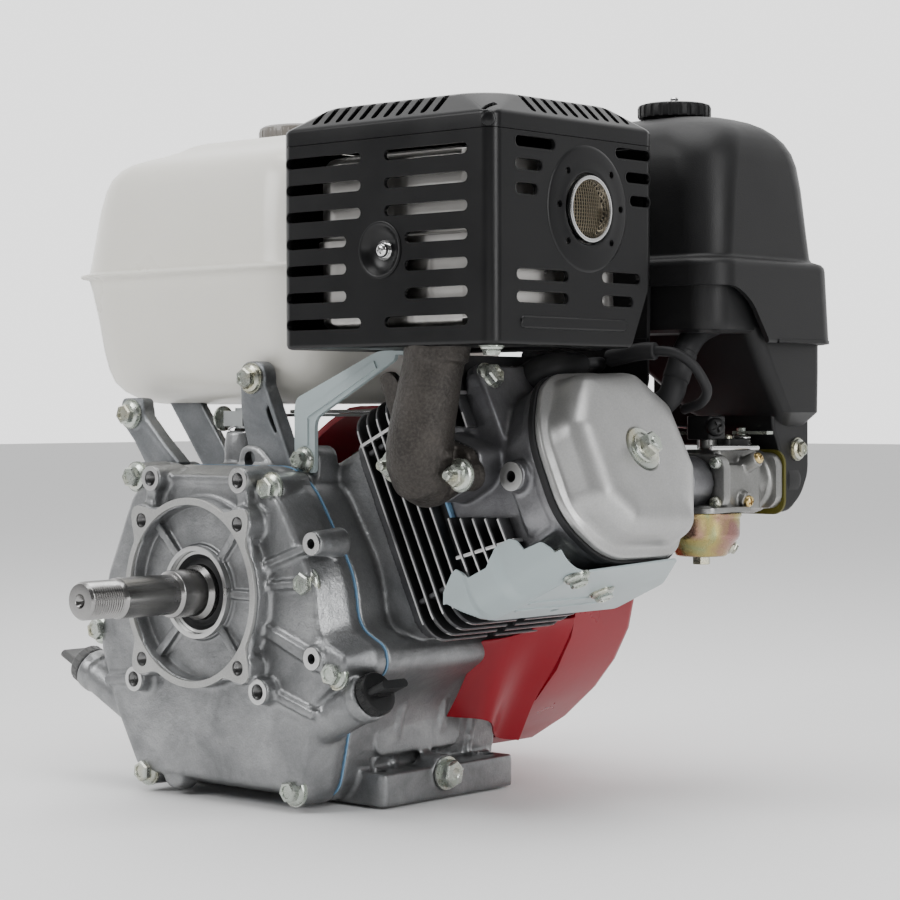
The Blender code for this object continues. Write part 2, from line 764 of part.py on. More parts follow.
def muffler():
    """Silver canister inside the shield, open at its inlet and outlet."""
    x0, x1 = SHIELD_X[0] + 9, SHIELD_X[1] - 9
    d0, d1 = SHIELD_D[0] + 9, SHIELD_D[1] - 9
    z0, z1 = 294.0, 402.0
    outer = loft([(rounded_box(x0 + i, x1 - i, d0 + i, d1 - i, 20), z) for i, z in
                  ((6, z0), (0, z0 + 6), (0, z1 - 6), (6, z1))], top)
    inner = loft([(rounded_box(x0 + i, x1 - i, d0 + i, d1 - i, 20), z) for i, z in
                  ((8, z0 + 2), (2, z0 + 8), (2, z1 - 8), (8, z1 - 2))], top)
    inlet = tube_along([(191, 34, z0 - 3), (191, 34, z0 + 5)], [14, 14], 16)
    outlet_neck = turned([(20, x1 - 6), (20, SHIELD_X[1] - 8)], side, *OUTLET, 16)
    outlet = turned([(17, x1 - 12), (17, SHIELD_X[1] + 5)], side, *OUTLET, 16)
    return piece("muffler", SATIN_SILVER, outer, add=[outlet_neck], cut=[inner, inlet, outlet])


def shield_slots():
    """Louvre slots of the front wall: two columns, shorter beside the dished screw recess."""
    slots = []
    for row in range(7):
        z = SLOT_TOP_Z - SLOT_PITCH * row
        beside_recess = row in (3, 4, 5)
        for start, end, fixed_end in ((86.0, 148.0, "start"), (167.0, 232.0, "end")):
            if beside_recess and fixed_end == "start":
                end -= 12.0
            if beside_recess and fixed_end == "end":
                start += 16.0
            slots.append(((start + end) / 2.0, z, end - start))
    return slots


def muffler_shield():
    x0, x1 = SHIELD_X
    d0, d1 = SHIELD_D
    z0, z1 = SHIELD_Z
    outer = prism(rounded_box(x0, x1, d0, d1, 8, 2), z0, z1, top)
    t = SHIELD_SHEET
    hollow = prism(rounded_box(x0 + t, x1 - t, d0 + t, d1 - t, 7, 2), z0 + t, z1 + 5, top)
    pipe_hole = turned([(21, z0 - 5), (21, z0 + 5)], top, 191, 26.5, 16)
    belly = prism(rounded_box(x0 + 14, x1 - 14, d0 + 52, d1 - 14, 8, 2), z0 - 5, z0 + 5, top)
    front_slots = together(*[
        prism(slot_outline(x, z, length, SLOT_WIDTH), d0 - 5, d0 + 5, front)
        for x, z, length in shield_slots()
    ])
    side_slots = together(*[
        prism(slot_outline(d, z, length, SLOT_WIDTH), x1 - 5, x1 + 5, side)
        for d, z, length in side_slot_places()
    ])
    mouth = turned([(21, x1 - 5), (21, x1 + 5)], side, *OUTLET, 16)
    corner = prism([(131, z0 - 5), (170, z0 - 5), (170, 338), (158, 338)], x1 - 40, x1 + 5, side)
    return piece("muffler_shield", BLACK_PAINT, outer,
                 cut=[hollow, pipe_hole, belly, front_slots, side_slots, mouth, corner])


def side_slot_places():
    """Centre in d and z and length of each slot in the outer wall."""
    spans = [(25, 61, 402), (25, 49, 389), (25, 45, 375), (118, 152, 402), (128, 152, 388),
             (132, 152, 374), (26, 73, 326), (26, 73, 313), (105, 142, 327), (105, 135, 313)]
    return [((start + end) / 2.0, z, end - start) for start, end, z in spans]


def muffler_shield_lid():
    x0, x1 = SHIELD_X
    d0, d1 = SHIELD_D
    z = SHIELD_Z[1] + 0.4
    band = z + 9
    crown = z + 23
    slope = 16.0
    t = SHIELD_SHEET
    outer = loft([(rounded_box(x0, x1, d0, d1, 8, 2), z),
                  (rounded_box(x0, x1, d0, d1, 8, 2), band),
                  (rounded_box(x0 + slope, x1 - slope, d0 + slope, d1 - slope, 24, 2), crown)],
                 top)
    inner = loft([(rounded_box(x0 + t, x1 - t, d0 + t, d1 - t, 7, 2), z - 2),
                  (rounded_box(x0 + t, x1 - t, d0 + t, d1 - t, 7, 2), band - 0.6),
                  (rounded_box(x0 + slope + 1, x1 - slope - 1, d0 + slope + 1, d1 - slope - 1,
                               23, 2), crown - t)], top)
    front_slots = [
        prism(box_outline(x, x + LID_SLOT, d0 + 3, d0 + slope - 1), band + 1, crown + 5, top)
        for x in (x0 + 24 + LID_PITCH * i for i in range(11))
    ]
    side_slots = [
        prism(box_outline(x1 - slope + 1, x1 - 3, d, d + LID_SLOT), band + 1, crown + 5, top)
        for d in (d0 + 40 + LID_PITCH * i for i in range(10))
    ]
    return piece("muffler_shield_lid", BLACK_PAINT, outer,
                 cut=[inner, together(*front_slots, *side_slots)])


def spark_arrester():
    """Outlet ring with the domed screen behind it."""
    x = SHIELD_X[1]
    tube = ring(17.4, 20.2, x - 7, x + 4, side, *OUTLET, 16)
    screen = turned([(18.4, x - 6.5), (18.4, x - 5), (14, x - 3.5)], side, *OUTLET, 16)
    return piece("spark_arrester", STEEL, tube, add=[screen])


def muffler_bracket():
    """Flat strap from the crankcase up to the muffler's belly."""
    outline = [(47, 213.8), (53, 212), (65, 207), (65, 243), (134, 279), (134, 284.6), (120, 284.6),
               (49, 256), (47, 250)]
    return piece("muffler_bracket", PLATE_GREY,
                 prism(rounded(outline, 4, 1), BRACKET_D, BRACKET_D + 3, front),
                 cut=[turned([(4.2, 40), (4.2, 60)], front, *BRACKET_BOLT, 10)])


# ---------------------------------------------------------------- fuel tank

TANK_X = (-192.0, 60.0)
TANK_D = (48.0, 290.0)
TANK_SEAM = 342.0
CAP_CENTRE = (-68.0, 169.0)
TANK_TOP = 434.0


def tank_sections(shrink, levels):
    x0, x1 = TANK_X
    d0, d1 = TANK_D
    sections = []
    for step, height, radius in levels:
        i = step + shrink
        sections.append((rounded_box(x0 + i, x1 - i, d0 + i, d1 - i, radius, 2), height))
    return sections


TANK_LEVELS = [
    (48, 253, 24), (34, 256, 30), (19, 268, 34), (12, 300, 36), (7, 336, 38), (6, 341, 38),
    (0, 341.2, 40), (0, 343.2, 40), (6, 343.4, 38), (7, 370, 38), (10, 400, 38),
    (17, 418, 36), (28, 428, 30), (44, 433, 26), (60, TANK_TOP, 20),
]


TANK_INSIDE = [(50, 255, 22), (21, 270, 32), (9, 338, 36), (12, 400, 36), (30, 426, 26),
               (62, TANK_TOP - 2, 18)]


def fuel_tank():
    outer = loft(tank_sections(0, TANK_LEVELS), top)
    inner = loft(tank_sections(0, TANK_INSIDE), top)
    neck = turned([(24, 425), (24, 438)], top, *CAP_CENTRE, 16)
    mouth = turned([(21, 420), (21, 450)], top, *CAP_CENTRE, 16)
    return piece("fuel_tank", CREAM, outer, add=[neck], cut=[inner, mouth])


def fuel_cap():
    skirt = turned([(28, 435), (29, 437), (29, 443), (27, 446), (20, 447)], top, *CAP_CENTRE, 16)
    well = turned([(25, 430), (25, 440)], top, *CAP_CENTRE, 16)
    return piece("fuel_cap", ((0.30, 0.27, 0.24), 0.4, 0.7), skirt, cut=[well])


# ---------------------------------------------------------------- air cleaner and carburettor

CLEANER_X = (115.0, 278.0)
CLEANER_D = (182.0, 322.0)
CLEANER_CENTRE = (195.0, 252.0)
COLLAR_LOW = 290.0
COLLAR_HIGH = 343.0


def cleaner_box(shrink, radius):
    x0, x1 = CLEANER_X
    d0, d1 = CLEANER_D
    return rounded_box(x0 + shrink, x1 - shrink, d0 + shrink, d1 - shrink, radius, 2)


def air_cleaner_cover():
    outer = loft([(cleaner_box(0, 20), COLLAR_LOW), (cleaner_box(2, 22), COLLAR_HIGH - 2),
                  (cleaner_box(7, 22), COLLAR_HIGH), (cleaner_box(12, 30), 405),
                  (cleaner_box(17, 30), 422), (cleaner_box(26, 26), 430),
                  (cleaner_box(40, 20), 435), (cleaner_box(54, 10), 437)], top)
    inner = loft([(cleaner_box(2.5, 18), COLLAR_LOW - 5), (cleaner_box(4.5, 20), COLLAR_HIGH - 4),
                  (cleaner_box(9.5, 20), COLLAR_HIGH - 2), (cleaner_box(14.5, 28), 404),
                  (cleaner_box(20, 28), 419), (cleaner_box(29, 24), 427.5),
                  (cleaner_box(42, 18), 432.5), (cleaner_box(55, 9), 434.5)], top)
    stud_hole = turned([(5, 420), (5, 450)], top, *CLEANER_CENTRE, 12)
    arch = prism(rounded([(150, COLLAR_LOW - 5), (150, 325), (205, 325), (222, 316),
                          (244, COLLAR_LOW - 5)], 8), 225, 300, side)
    return piece("air_cleaner_cover", BLACK_PLASTIC, outer, cut=[inner, stud_hole, arch])


def air_cleaner_case():
    """Lower half of the air cleaner with its elbow down to the carburettor and its stud."""
    tub = loft([(cleaner_box(12, 16), 296), (cleaner_box(8, 18), 304),
                (cleaner_box(8, 18), 336)], top)
    hollow = loft([(cleaner_box(14.5, 14), 299), (cleaner_box(10.5, 16), 306),
                   (cleaner_box(10.5, 16), 350)], top)
    x, z = carb_axis()
    snout = loft([(rounded_box(205, 256, 284, 311, 6, 1), 235),
                  (rounded_box(190, 270, 270, 314, 8, 1), 244),
                  (rounded_box(150, 270, 232, 314, 8, 1), 300)], top)
    start = CARB_D[1] + 3
    elbow = [turned([(21, start), (21, start + 14), (17, start + 22), (8, start + 27)],
                    front, x, z, 16),
             turned([(15.5, z - 4), (15.5, z + 50)], top, x - 2, start + 16, 16)]
    elbow_bore = [turned([(13, start - 5), (13, start + 16)], front, x, z, 12),
                  turned([(11, z - 6), (11, 320)], top, x - 2, start + 16, 12)]
    stud_boss = turned([(9, 297), (9, 306)], top, *CLEANER_CENTRE, 12)
    stud = turned([(3, 300), (3, 452)], top, *CLEANER_CENTRE, 8)
    return piece("air_cleaner_case", BLACK_PLASTIC, tub, add=[snout, *elbow],
                 cut=[hollow, *elbow_bore], then_add=[stud_boss, stud])


def air_cleaner_element():
    low = 307.5
    body = prism(cleaner_box(30, 24), low, 392, top)
    hole = turned([(30, low - 5), (30, 400)], top, *CLEANER_CENTRE, 20)
    return piece("air_cleaner_element", ((0.55, 0.42, 0.22), 0.9, 0.0), body, cut=[hole])


def air_cleaner_knob():
    knob = turned([(24, 437.5), (24, 445), (22, 447), (12, 447.5)], top, *CLEANER_CENTRE, 16)
    hole = turned([(3.4, 430), (3.4, 450)], top, *CLEANER_CENTRE, 10)
    return piece("air_cleaner_knob", BLACK_PLASTIC, knob, cut=[hole])


CARB_D = (213.0, 287.0)       # the carburettor's two flange faces
BOWL_D = 227.0
THROTTLE_D = 229.0
CHOKE_D = 266.0
FUEL_VALVE = (203.0, 276.0, 194.0)


def carb_axis():
    """Carburettor throat centre in x and z."""
    return 238.0, 202.0


def carburetor_body():
    x, z = carb_axis()
    barrel = turned([(19, CARB_D[0] + 4), (19, CARB_D[1] - 4)], front, x, z, 14)
    flanges = [
        prism(rounded_box(x - 24, x + 24, z - 18, z + 18, 8, 1), low, high, front)
        for low, high in ((CARB_D[0], CARB_D[0] + 8), (CARB_D[1] - 7, CARB_D[1]))
    ]
    stem = turned([(10, z - 19), (10, z)], top, x, BOWL_D, 12)
    lid = turned([(23, z - 19), (23, z - 17.4)], top, x, BOWL_D, 16)
    valve_x, valve_d, valve_z = FUEL_VALVE
    fuel_boss = turned([(8, valve_x + 3 + GAP), (8, x - 14)], side, valve_d, valve_z, 12)
    throat = turned([(12.5, 190), (12.5, 300)], front, x, z, 12)
    throttle_hole = turned([(3.4, z - 21), (3.4, z + 30)], top, x, THROTTLE_D, 8)
    choke_hole = turned([(3.4, z - 21), (3.4, z + 30)], top, x, CHOKE_D, 8)
    return piece("carburetor_body", CAST, barrel, add=[*flanges, stem, lid, fuel_boss],
                 cut=[throat, throttle_hole, choke_hole])


def float_bowl():
    x, z = carb_axis()
    high = z - 19 - GAP
    outer = turned([(12, high - 27), (18, high - 24), (20.5, high - 12), (20.5, high - 2),
                    (23, high - 2), (23, high)], top, x, BOWL_D, 16)
    inner = turned([(10, high - 25.5), (16.8, high - 22.5), (19.2, high - 12),
                    (19.2, high + 5)], top, x, BOWL_D, 16)
    nut = prism(circle(6.0, 6, x, BOWL_D), high - 33, high - 26, top)
    return piece("float_bowl", ZINC, outer, add=[nut], cut=[inner])


def butterfly(name, d, lever_out, spin):
    """Spindle with a disc in the throat and a lever on top, turning about its own axis."""
    x, z = carb_axis()
    spindle = turned([(3, z - 18), (3, z + 34)], top, x, d, 8)
    disc = turned([(11.8, -0.7), (11.8, 0.7)], across_throat(x, z, d, spin), 0, 0, 12)
    near = 5.0 if lever_out > 0 else -5.0
    lever = prism(rounded([(x - near, d - 5), (x + near, d - 5), (x + lever_out, d - 3),
                           (x + lever_out, d + 3), (x + near, d + 5), (x - near, d + 5)],
                          2, 1), z + 30, z + 32, top)
    return piece(name, BRASS, spindle, add=[disc, lever], pivot=top(x, d, z) * MM)


def across_throat(x, z, d, spin):
    """Placing of a throat disc turned by spin about the upright spindle."""
    def place(u, v, h):
        a = u * cos(spin) - h * sin(spin)
        b = u * sin(spin) + h * cos(spin)
        return Vector((x + a, d - FOOT_DEPTH + b, z + v))
    return place


def carburetor_gasket():
    x, z = carb_axis()
    plate = prism(rounded_box(x - 25, x + 25, z - 22, z + 20, 8, 1), CARB_D[1] + 0.3,
                  CARB_D[1] + 2.7, front)
    port = turned([(13, 270), (13, 300)], front, x, z, 12)
    return piece("carburetor_gasket", ((0.30, 0.30, 0.03), 0.6, 0.0), plate, cut=[port])


# ---------------------------------------------------------------- running gear

def crankshaft():
    """Output shaft, journals, two webs with counterweights and the crankpin."""
    z = CRANK_HEIGHT
    shaft = turned([(SHAFT_R - 1.6, -SHAFT_LENGTH), (SHAFT_R - 0.8, -SHAFT_LENGTH + 1.2),
                    (SHAFT_R - 0.8, -61), (SHAFT_R, -60), (SHAFT_R, -16), (15, -15.5),
                    (15, 4), (JOURNAL_R, 8), (JOURNAL_R, 92)], front, 0, z, 20)
    rear = turned([(JOURNAL_R, 150), (JOURNAL_R, 192), (14, 193), (11.6, 227.8), (7.8, 228.2),
                   (7.8, 250)], front, 0, z, 20)
    pin = turned([(PIN_R, 98), (PIN_R, 144)], front, bore_x(0, STROKE / 2),
                 bore_z(0, STROKE / 2), 16)
    webs = [prism(web_outline(), low, high, bore_side) for low, high in ((88, 103), (139, 154))]
    return piece("crankshaft", STEEL, shaft, add=[*webs, pin, rear],
                 pivot=front(0, z, 0) * MM)


def web_outline():
    """Crank web: narrow round the pin, wide counterweight opposite it, in s and v."""
    pin_side = [
        (STROKE / 2 + 20 * cos(a), 20 * sin(a)) for a in (radians(t) for t in range(-75, 76, 25))
    ]
    weight = [
        (CRANK_WEB_R * cos(a), CRANK_WEB_R * sin(a))
        for a in (radians(t) for t in range(115, 246, 13))
    ]
    return pin_side + weight


def crank_gear():
    x, z = cam_axis()
    towards = Vector((x, z - CRANK_HEIGHT)).to_2d()
    module = 2.0 * towards.length / (CRANK_TEETH + CAM_TEETH)
    angle = towards.angle_signed(Vector((1, 0)))
    outline = [spun(point, angle, 0, CRANK_HEIGHT) for point in
               gear_outline(CRANK_TEETH, module, 0.0)]
    return piece("crank_gear", STEEL, prism(outline, GEAR_FRONT, GEAR_BACK, front),
                 cut=[turned([(JOURNAL_R + 0.1, 60), (JOURNAL_R + 0.1, 80)], front, 0,
                             CRANK_HEIGHT, 20)],
                 pivot=front(0, CRANK_HEIGHT, 0) * MM)


def spun(point, angle, u, v):
    """The point turned by the angle and moved to (u, v)."""
    a, b = point
    return u + a * cos(angle) - b * sin(angle), v + a * sin(angle) + b * cos(angle)


def camshaft():
    """Camshaft with its gear and two lobes."""
    x, z = cam_axis()
    towards = Vector((-x, CRANK_HEIGHT - z)).to_2d()
    module = 2.0 * towards.length / (CRANK_TEETH + CAM_TEETH)
    angle = towards.angle_signed(Vector((1, 0)))
    gear = prism([spun(point, angle, x, z) for point in gear_outline(CAM_TEETH, module, 0.5)],
                 GEAR_FRONT, GEAR_BACK, front)
    shaft = turned([(6, 29), (6, 40), (8, 40.5), (8, 171.2), (6, 171.6), (6, 183.5)], front,
                   x, z, 14)
    lobes = [cam_lobe(x, z, CYLINDER_D - VALVE_SPREAD, 200),
             cam_lobe(x, z, CYLINDER_D + VALVE_SPREAD, 310)]
    return piece("camshaft", STEEL, shaft, add=[gear, *lobes],
                 pivot=front(x, z, 0) * MM)


def cam_lobe(x, z, d, angle):
    """Egg-shaped lobe with its nose at the angle."""
    nose = radians(angle)
    points = circle(CAM_BASE_R, 16)[3:14]
    nose_r = CAM_BASE_R + CAM_LIFT
    egg = [(nose_r, -2.0), (nose_r, 2.0)] + points
    outline = [spun(point, nose, x, z) for point in egg]
    return prism(outline, d - 6, d + 6, front)


def bearing(name, low, high):
    """Ball bearing shown as a plain ring."""
    return piece(name, STEEL,
                 ring(JOURNAL_R + RUNNING_FIT, 36.0, low, high, front, 0, CRANK_HEIGHT, 20))


def oil_seal():
    return piece("oil_seal", RUBBER,
                 ring(JOURNAL_R + RUNNING_FIT, 26.0, 10.2, 19.8, front, 0, CRANK_HEIGHT, 20))


def piston():
    low = DECK - PISTON_TALL - 0.5
    radius = BORE / 2 - 0.25
    body = turned([(radius, low), (radius, low + PISTON_TALL)], bore, CYLINDER_D, 0, 28)
    hollow = turned([(37, low - 5), (37, DECK - 8)], bore, CYLINDER_D, 0, 20)
    bosses = together(*[
        turned([(11, a), (11, b)], across_bore, pin_height(), 0, 10)
        for a, b in ((CYLINDER_D - 41, CYLINDER_D - 15), (CYLINDER_D + 15, CYLINDER_D + 41))
    ])
    pin_hole = turned([(9.1, 50), (9.1, 200)], across_bore, pin_height(), 0, 12)
    grooves = together(*[
        ring(40.5, 50, DECK - at - 2, DECK - at, bore, CYLINDER_D, 0, 28) for at in (6, 12, 18)
    ])
    return piece("piston", SATIN_SILVER, body, cut=[hollow], then_add=[bosses],
                 then_cut=[pin_hole, grooves])


def across_bore(s, v, d):
    return bore(d, v, s)


def pin_height():
    return DECK - 0.5 - COMPRESSION_HEIGHT


def gudgeon_pin():
    return piece("gudgeon_pin", STEEL,
                 ring(5, 9.0, CYLINDER_D - 34, CYLINDER_D + 34, across_bore, pin_height(), 0, 12))


def connecting_rod():
    """Rod between the crankpin and the gudgeon pin."""
    big = STROKE / 2
    small = pin_height()
    half = 11.0
    low = CYLINDER_D - half
    high = CYLINDER_D + half
    shank = prism(rounded([(big + 15, -12), (small - 5, -8), (small - 5, 8), (big + 15, 12)],
                          2, 1), CYLINDER_D - 7, CYLINDER_D + 7, across_bore)
    ends = [turned([(27, low), (27, high)], across_bore, big, 0, 16),
            turned([(14, low), (14, high)], across_bore, small, 0, 12)]
    holes = [turned([(PIN_R + 0.6, 90), (PIN_R + 0.6, 150)], across_bore, big, 0, 16),
             turned([(9.1, 90), (9.1, 150)], across_bore, small, 0, 12)]
    return piece("connecting_rod", CAST, shank, add=ends, cut=holes)


# ---------------------------------------------------------------- flywheel side

FLYWHEEL_R = 98.0


def flywheel():
    z = CRANK_HEIGHT
    body = turned([(30, 200), (FLYWHEEL_R, 202), (FLYWHEEL_R, 232), (70, 232)], front, 0, z, 24)
    dish = turned([(60, 224), (76, 240)], front, 0, z, 20)
    hub = turned([(24, 220), (24, 228)], front, 0, z, 16)
    taper = turned([(14.2, 192), (14.2, 193), (11.8, 228), (11.8, 235)], front, 0, z, 20)
    return piece("flywheel", CAST, body, cut=[dish], then_add=[hub], then_cut=[taper],
                 pivot=front(0, z, 0) * MM)


def cooling_fan():
    """Ring of blades on the flywheel face."""
    z = CRANK_HEIGHT
    disc = ring(66, 90, 232.3, 235, front, 0, z, 24)
    blades = [fan_blade(i) for i in range(12)]
    return piece("cooling_fan", BLACK_PLASTIC, disc, add=blades,
                 pivot=front(0, z, 0) * MM)


def fan_blade(index):
    turn = 2 * pi * index / 12
    points = [(68, -1.5), (89, -6), (89, -3), (68, 1.5)]
    outline = [spun(point, turn, 0, CRANK_HEIGHT) for point in points]
    return prism(outline, 234, 252, front)


def starter_cup():
    """Cup on the flywheel that the recoil pawls catch."""
    z = CRANK_HEIGHT
    cup = turned([(44, 228.4), (44, 262)], front, 0, z, 20)
    inside = turned([(41.5, 231), (41.5, 270)], front, 0, z, 20)
    hole = turned([(8.1, 220), (8.1, 240)], front, 0, z, 16)
    return piece("starter_cup", STEEL, cup, cut=[inside, hole],
                 pivot=front(0, z, 0) * MM)


HOUSING_R = 122.0
HOUSING_TOP = 251.5
LEAD_HOLE = (70.0, 206.0)     # where the ignition lead enters, in x and d


def housing_outline():
    """Fan housing: round about the crank, drawn out towards the cylinder."""
    arc = [
        (HOUSING_R * cos(a), min(CRANK_HEIGHT + HOUSING_R * sin(a), HOUSING_TOP))
        for a in (radians(t) for t in range(75, 286, 15))
    ]
    duct = [(72, 22), (99, 38), (125, 60), (142, 80), (154, 102), (159, 124), (158, 156),
            (146, 190), (118, 222), (80, 242)]
    return arc + duct


def fan_housing():
    outline = housing_outline()
    outer = prism(outline, 191, 262, front)
    hollow = prism(inset(outline, 2), 185, 260, front)
    eye = turned([(88, 255), (88, 270)], front, 0, CRANK_HEIGHT, 24)
    x, d, z = CONTROL
    post = turned([(8, 236), (8, z - GAP)], top, x, d, 12)
    post_hole = turned([(4.3, z - 8), (4.3, z + 5)], top, x, d, 10)
    lead_hole = turned([(5, 230), (5, 270)], top, *LEAD_HOLE, 10)
    return piece("fan_housing", RED, outer, add=[post], cut=[hollow, eye, post_hole, lead_hole])


def recoil_housing():
    z = CRANK_HEIGHT
    outer = turned([(98, 262.4), (98, 266), (90, 290), (84, 308), (70, 317), (30, 319)],
                   front, 0, z, 24)
    inner = turned([(86, 255), (86, 264), (82, 290), (78, 306), (66, 314.5),
                    (30, 316.5)], front, 0, z, 24)
    vents = together(*[recoil_vent(i) for i in range(8)])
    post = turned([(7, 270), (7, 318)], front, 0, z, 12)
    x, d, z = GRIP
    guide = tube_along([(x + 24, d - 12, z - 36), (x + 6, d, z - 9.6)], [13, 9], 12)
    return piece("recoil_housing", RED, outer, add=[guide], cut=[inner, vents],
                 then_add=[post])


def recoil_vent(index):
    turn = 2 * pi * index / 8
    points = [(50, -5), (76, -6), (76, 6), (50, 5)]
    outline = [spun(point, turn, 0, CRANK_HEIGHT) for point in points]
    return prism(outline, 290, 330, front)


def starter_reel():
    z = CRANK_HEIGHT
    reel = turned([(52, 272), (52, 275), (44, 276), (44, 286), (52, 287), (52, 290)], front,
                  0, z, 20)
    hole = turned([(7.6, 265), (7.6, 295)], front, 0, z, 16)
    return piece("starter_reel", BLACK_PLASTIC, reel, cut=[hole],
                 pivot=front(0, z, 0) * MM)


GRIP = (-59.0, 305.0, 228.0)


def starter_grip():
    """Pull handle resting against its guide on the upper left of the recoil housing."""
    x, d, z = GRIP
    bar = tube_along([(x - 32, d, z - 20), (x - 14, d, z - 9), (x + 14, d, z + 9),
                      (x + 32, d, z + 20)], [6, 9, 9, 6], 12)
    return piece("starter_grip", BLACK_PLASTIC, bar)


SHROUD_V = -91.5


def lower_shroud():
    """Pressed plate under the cylinder and head, with a stepped flap on the output side."""
    plate = prism([(57, 172), (57, 248), (150, 257), (188, 214), (188, 172)],
                  SHROUD_V - 1.5, SHROUD_V, shroud_plan)
    flap = [(172, SHROUD_V - 1.5), (152, -70), (166, -60), (177, -66), (196, -67), (203, -60),
            (218, -62), (221, -69), (237, -69), (248, -88), (248, SHROUD_V - 1.5)]
    front_flap = prism(flap, 55.5, 57.5, bore_side)
    hole = turned([(3, SHROUD_V - 5), (3, SHROUD_V + 5)], shroud_plan, 116, 182, 8)
    return piece("lower_shroud", PLATE_GREY, plate, add=[front_flap], cut=[hole])


def shroud_plan(d, s, v):
    """Drawn on the shroud plate."""
    return bore(d, v, s)


# ---------------------------------------------------------------- ignition and controls

def spark_plug():
    v = PLUG_V
    hexagon = prism(circle(9.2, 6, CYLINDER_D, v), 191, 200, bore)
    thread = turned([(7, DECK + 7), (7, 192)], bore, CYLINDER_D, v, 12)
    insulator = turned([(6, 199), (5, 216), (3.5, 218), (3.5, 222)], bore, CYLINDER_D, v, 12)
    return piece("spark_plug", ((0.85, 0.85, 0.84), 0.3, 0.0), hexagon, add=[thread, insulator])


CAP_EXIT = (CYLINDER_D + 34.0, PLUG_V + 3.0, 237.0)


def spark_plug_cap():
    """Rubber elbow over the plug."""
    base = bore(CYLINDER_D, PLUG_V, 203)
    tip = bore(CYLINDER_D, PLUG_V, 228)
    turn = bore(CYLINDER_D + 5, PLUG_V + 1, 235)
    out = bore(*CAP_EXIT)
    points = [(p.x, p.y + FOOT_DEPTH, p.z) for p in (base, tip, turn, out)]
    body = tube_along(points, [10, 10, 10, 7], 12)
    well = turned([(6.4, 195), (6.4, 224)], bore, CYLINDER_D, PLUG_V, 12)
    return piece("spark_plug_cap", RUBBER, body, cut=[well])


def ignition_coil():
    """Coil beside the flywheel rim, on the crankcase side of the fan housing."""
    base = CRANK_HEIGHT + FLYWHEEL_R
    core = prism(box_outline(-30, 30, base + 1, base + 6), 206, 222, front)
    block = prism(rounded_box(-16, 16, base + 2, base + 15, 3, 1), 200, 230, front)
    return piece("ignition_coil", BLACK_PLASTIC, core, add=[block])


GOVERNOR = (-26.0, 74.0)      # governor shaft in x and d
CONTROL = (84.0, 232.0, 257.0)
SWITCH = (128.0, 262.5, 160.0)


def governor_arm():
    """Shaft out of the crankcase top with its clamped lever running back."""
    x, d = GOVERNOR
    shaft = turned([(6, 195), (6, 250)], top, x, d, 12)
    lever = prism(rounded([(x - 8, d - 8), (x + 8, d - 8), (x + 8, d + 40), (x + 46, d + 96),
                           (x + 38, d + 100), (x - 8, d + 44)], 3, 1), 244, 246, top)
    clamp = prism(box_outline(x - 9, x + 9, d - 10, d + 8), 238, 248, top)
    return piece("governor_arm", PLATE_GREY, shaft, add=[lever, clamp],
                 pivot=top(x, d, 240) * MM)


def control_lever():
    """Hand speed lever on its plate pivot."""
    x, d, z = CONTROL
    plate = prism(rounded([(x - 7, d - 7), (x + 7, d - 7), (x + 8, d + 10), (x + 3, d + 58),
                           (x - 3, d + 58), (x - 8, d + 10)], 3, 1), z, z + 2, top)
    grip = turned([(6, z - 2), (6, z + 12)], top, x, d + 56, 12)
    pin = turned([(4, z - 7), (4, z + 4)], top, x, d, 10)
    return piece("control_lever", BLACK_PLASTIC, plate, add=[grip, pin],
                 pivot=top(x, d, z) * MM)


def fuel_valve_lever():
    """Lever hanging from its boss on the carburettor's side."""
    x, d, z = FUEL_VALVE
    boss = turned([(7, x - 3), (7, x + 3)], side, d, z, 14)
    arm = prism(rounded([(d - 4, z), (d - 4, z - 26), (d + 4, z - 26), (d + 4, z)], 3, 1),
                x - 2, x + 2, side)
    return piece("fuel_valve_lever", BLACK_PLASTIC, boss, add=[arm],
                 pivot=side(d, z, x) * MM)


def engine_switch():
    """Rotary stop switch on the front of the fan housing."""
    x, d, z = SWITCH
    body = turned([(16, d), (16, d + 10), (12, d + 12)], front, x, z, 20)
    grip = prism(box_outline(x - 3, x + 3, z - 14, z + 14), d + 11, d + 20, front)
    return piece("engine_switch", ((0.5, 0.02, 0.02), 0.4, 0.0), body, add=[grip],
                 pivot=front(x, z, d) * MM)


def cord(name, look, route, radius, steps=6):
    """A hose or lead along a smooth route through the given points."""
    points = smooth_route([Vector(point) for point in route], 4)
    body = tube_along([tuple(point) for point in points], [radius] * len(points), steps)
    return piece(name, look, body)


def smooth_route(points, steps):
    """Points read from a curve that passes through every route point."""
    padded = [points[0] * 2 - points[1], *points, points[-1] * 2 - points[-2]]
    path = []
    for i in range(1, len(padded) - 2):
        a, b, c, e = padded[i - 1:i + 3]
        for k in range(steps):
            t = k / steps
            path.append(0.5 * (b * 2 + (c - a) * t + (a * 2 - b * 5 + c * 4 - e) * t * t
                               + (b * 3 - a - c * 3 + e) * t * t * t))
    path.append(padded[-2])
    return path


def ignition_lead():
    exit_d, exit_v, exit_s = CAP_EXIT
    out = bore(exit_d + 1, exit_v, exit_s)
    x, d, z = out.x, out.y + FOOT_DEPTH, out.z
    hole_x, hole_d = LEAD_HOLE
    route = [(x, d, z), (x + 2, d + 16, z + 1), (x - 22, d + 32, z - 4), (x - 70, 190, z - 6),
             (hole_x + 14, 200, 266), (hole_x, hole_d, 256), (hole_x - 1, hole_d, 240),
             (hole_x - 8, hole_d + 1, 235.5), (hole_x - 22, hole_d + 4, 237.5),
             (34, hole_d + 6, 241), (17, hole_d + 8, 241)]
    return cord("ignition_lead", RUBBER, route, 3.5)


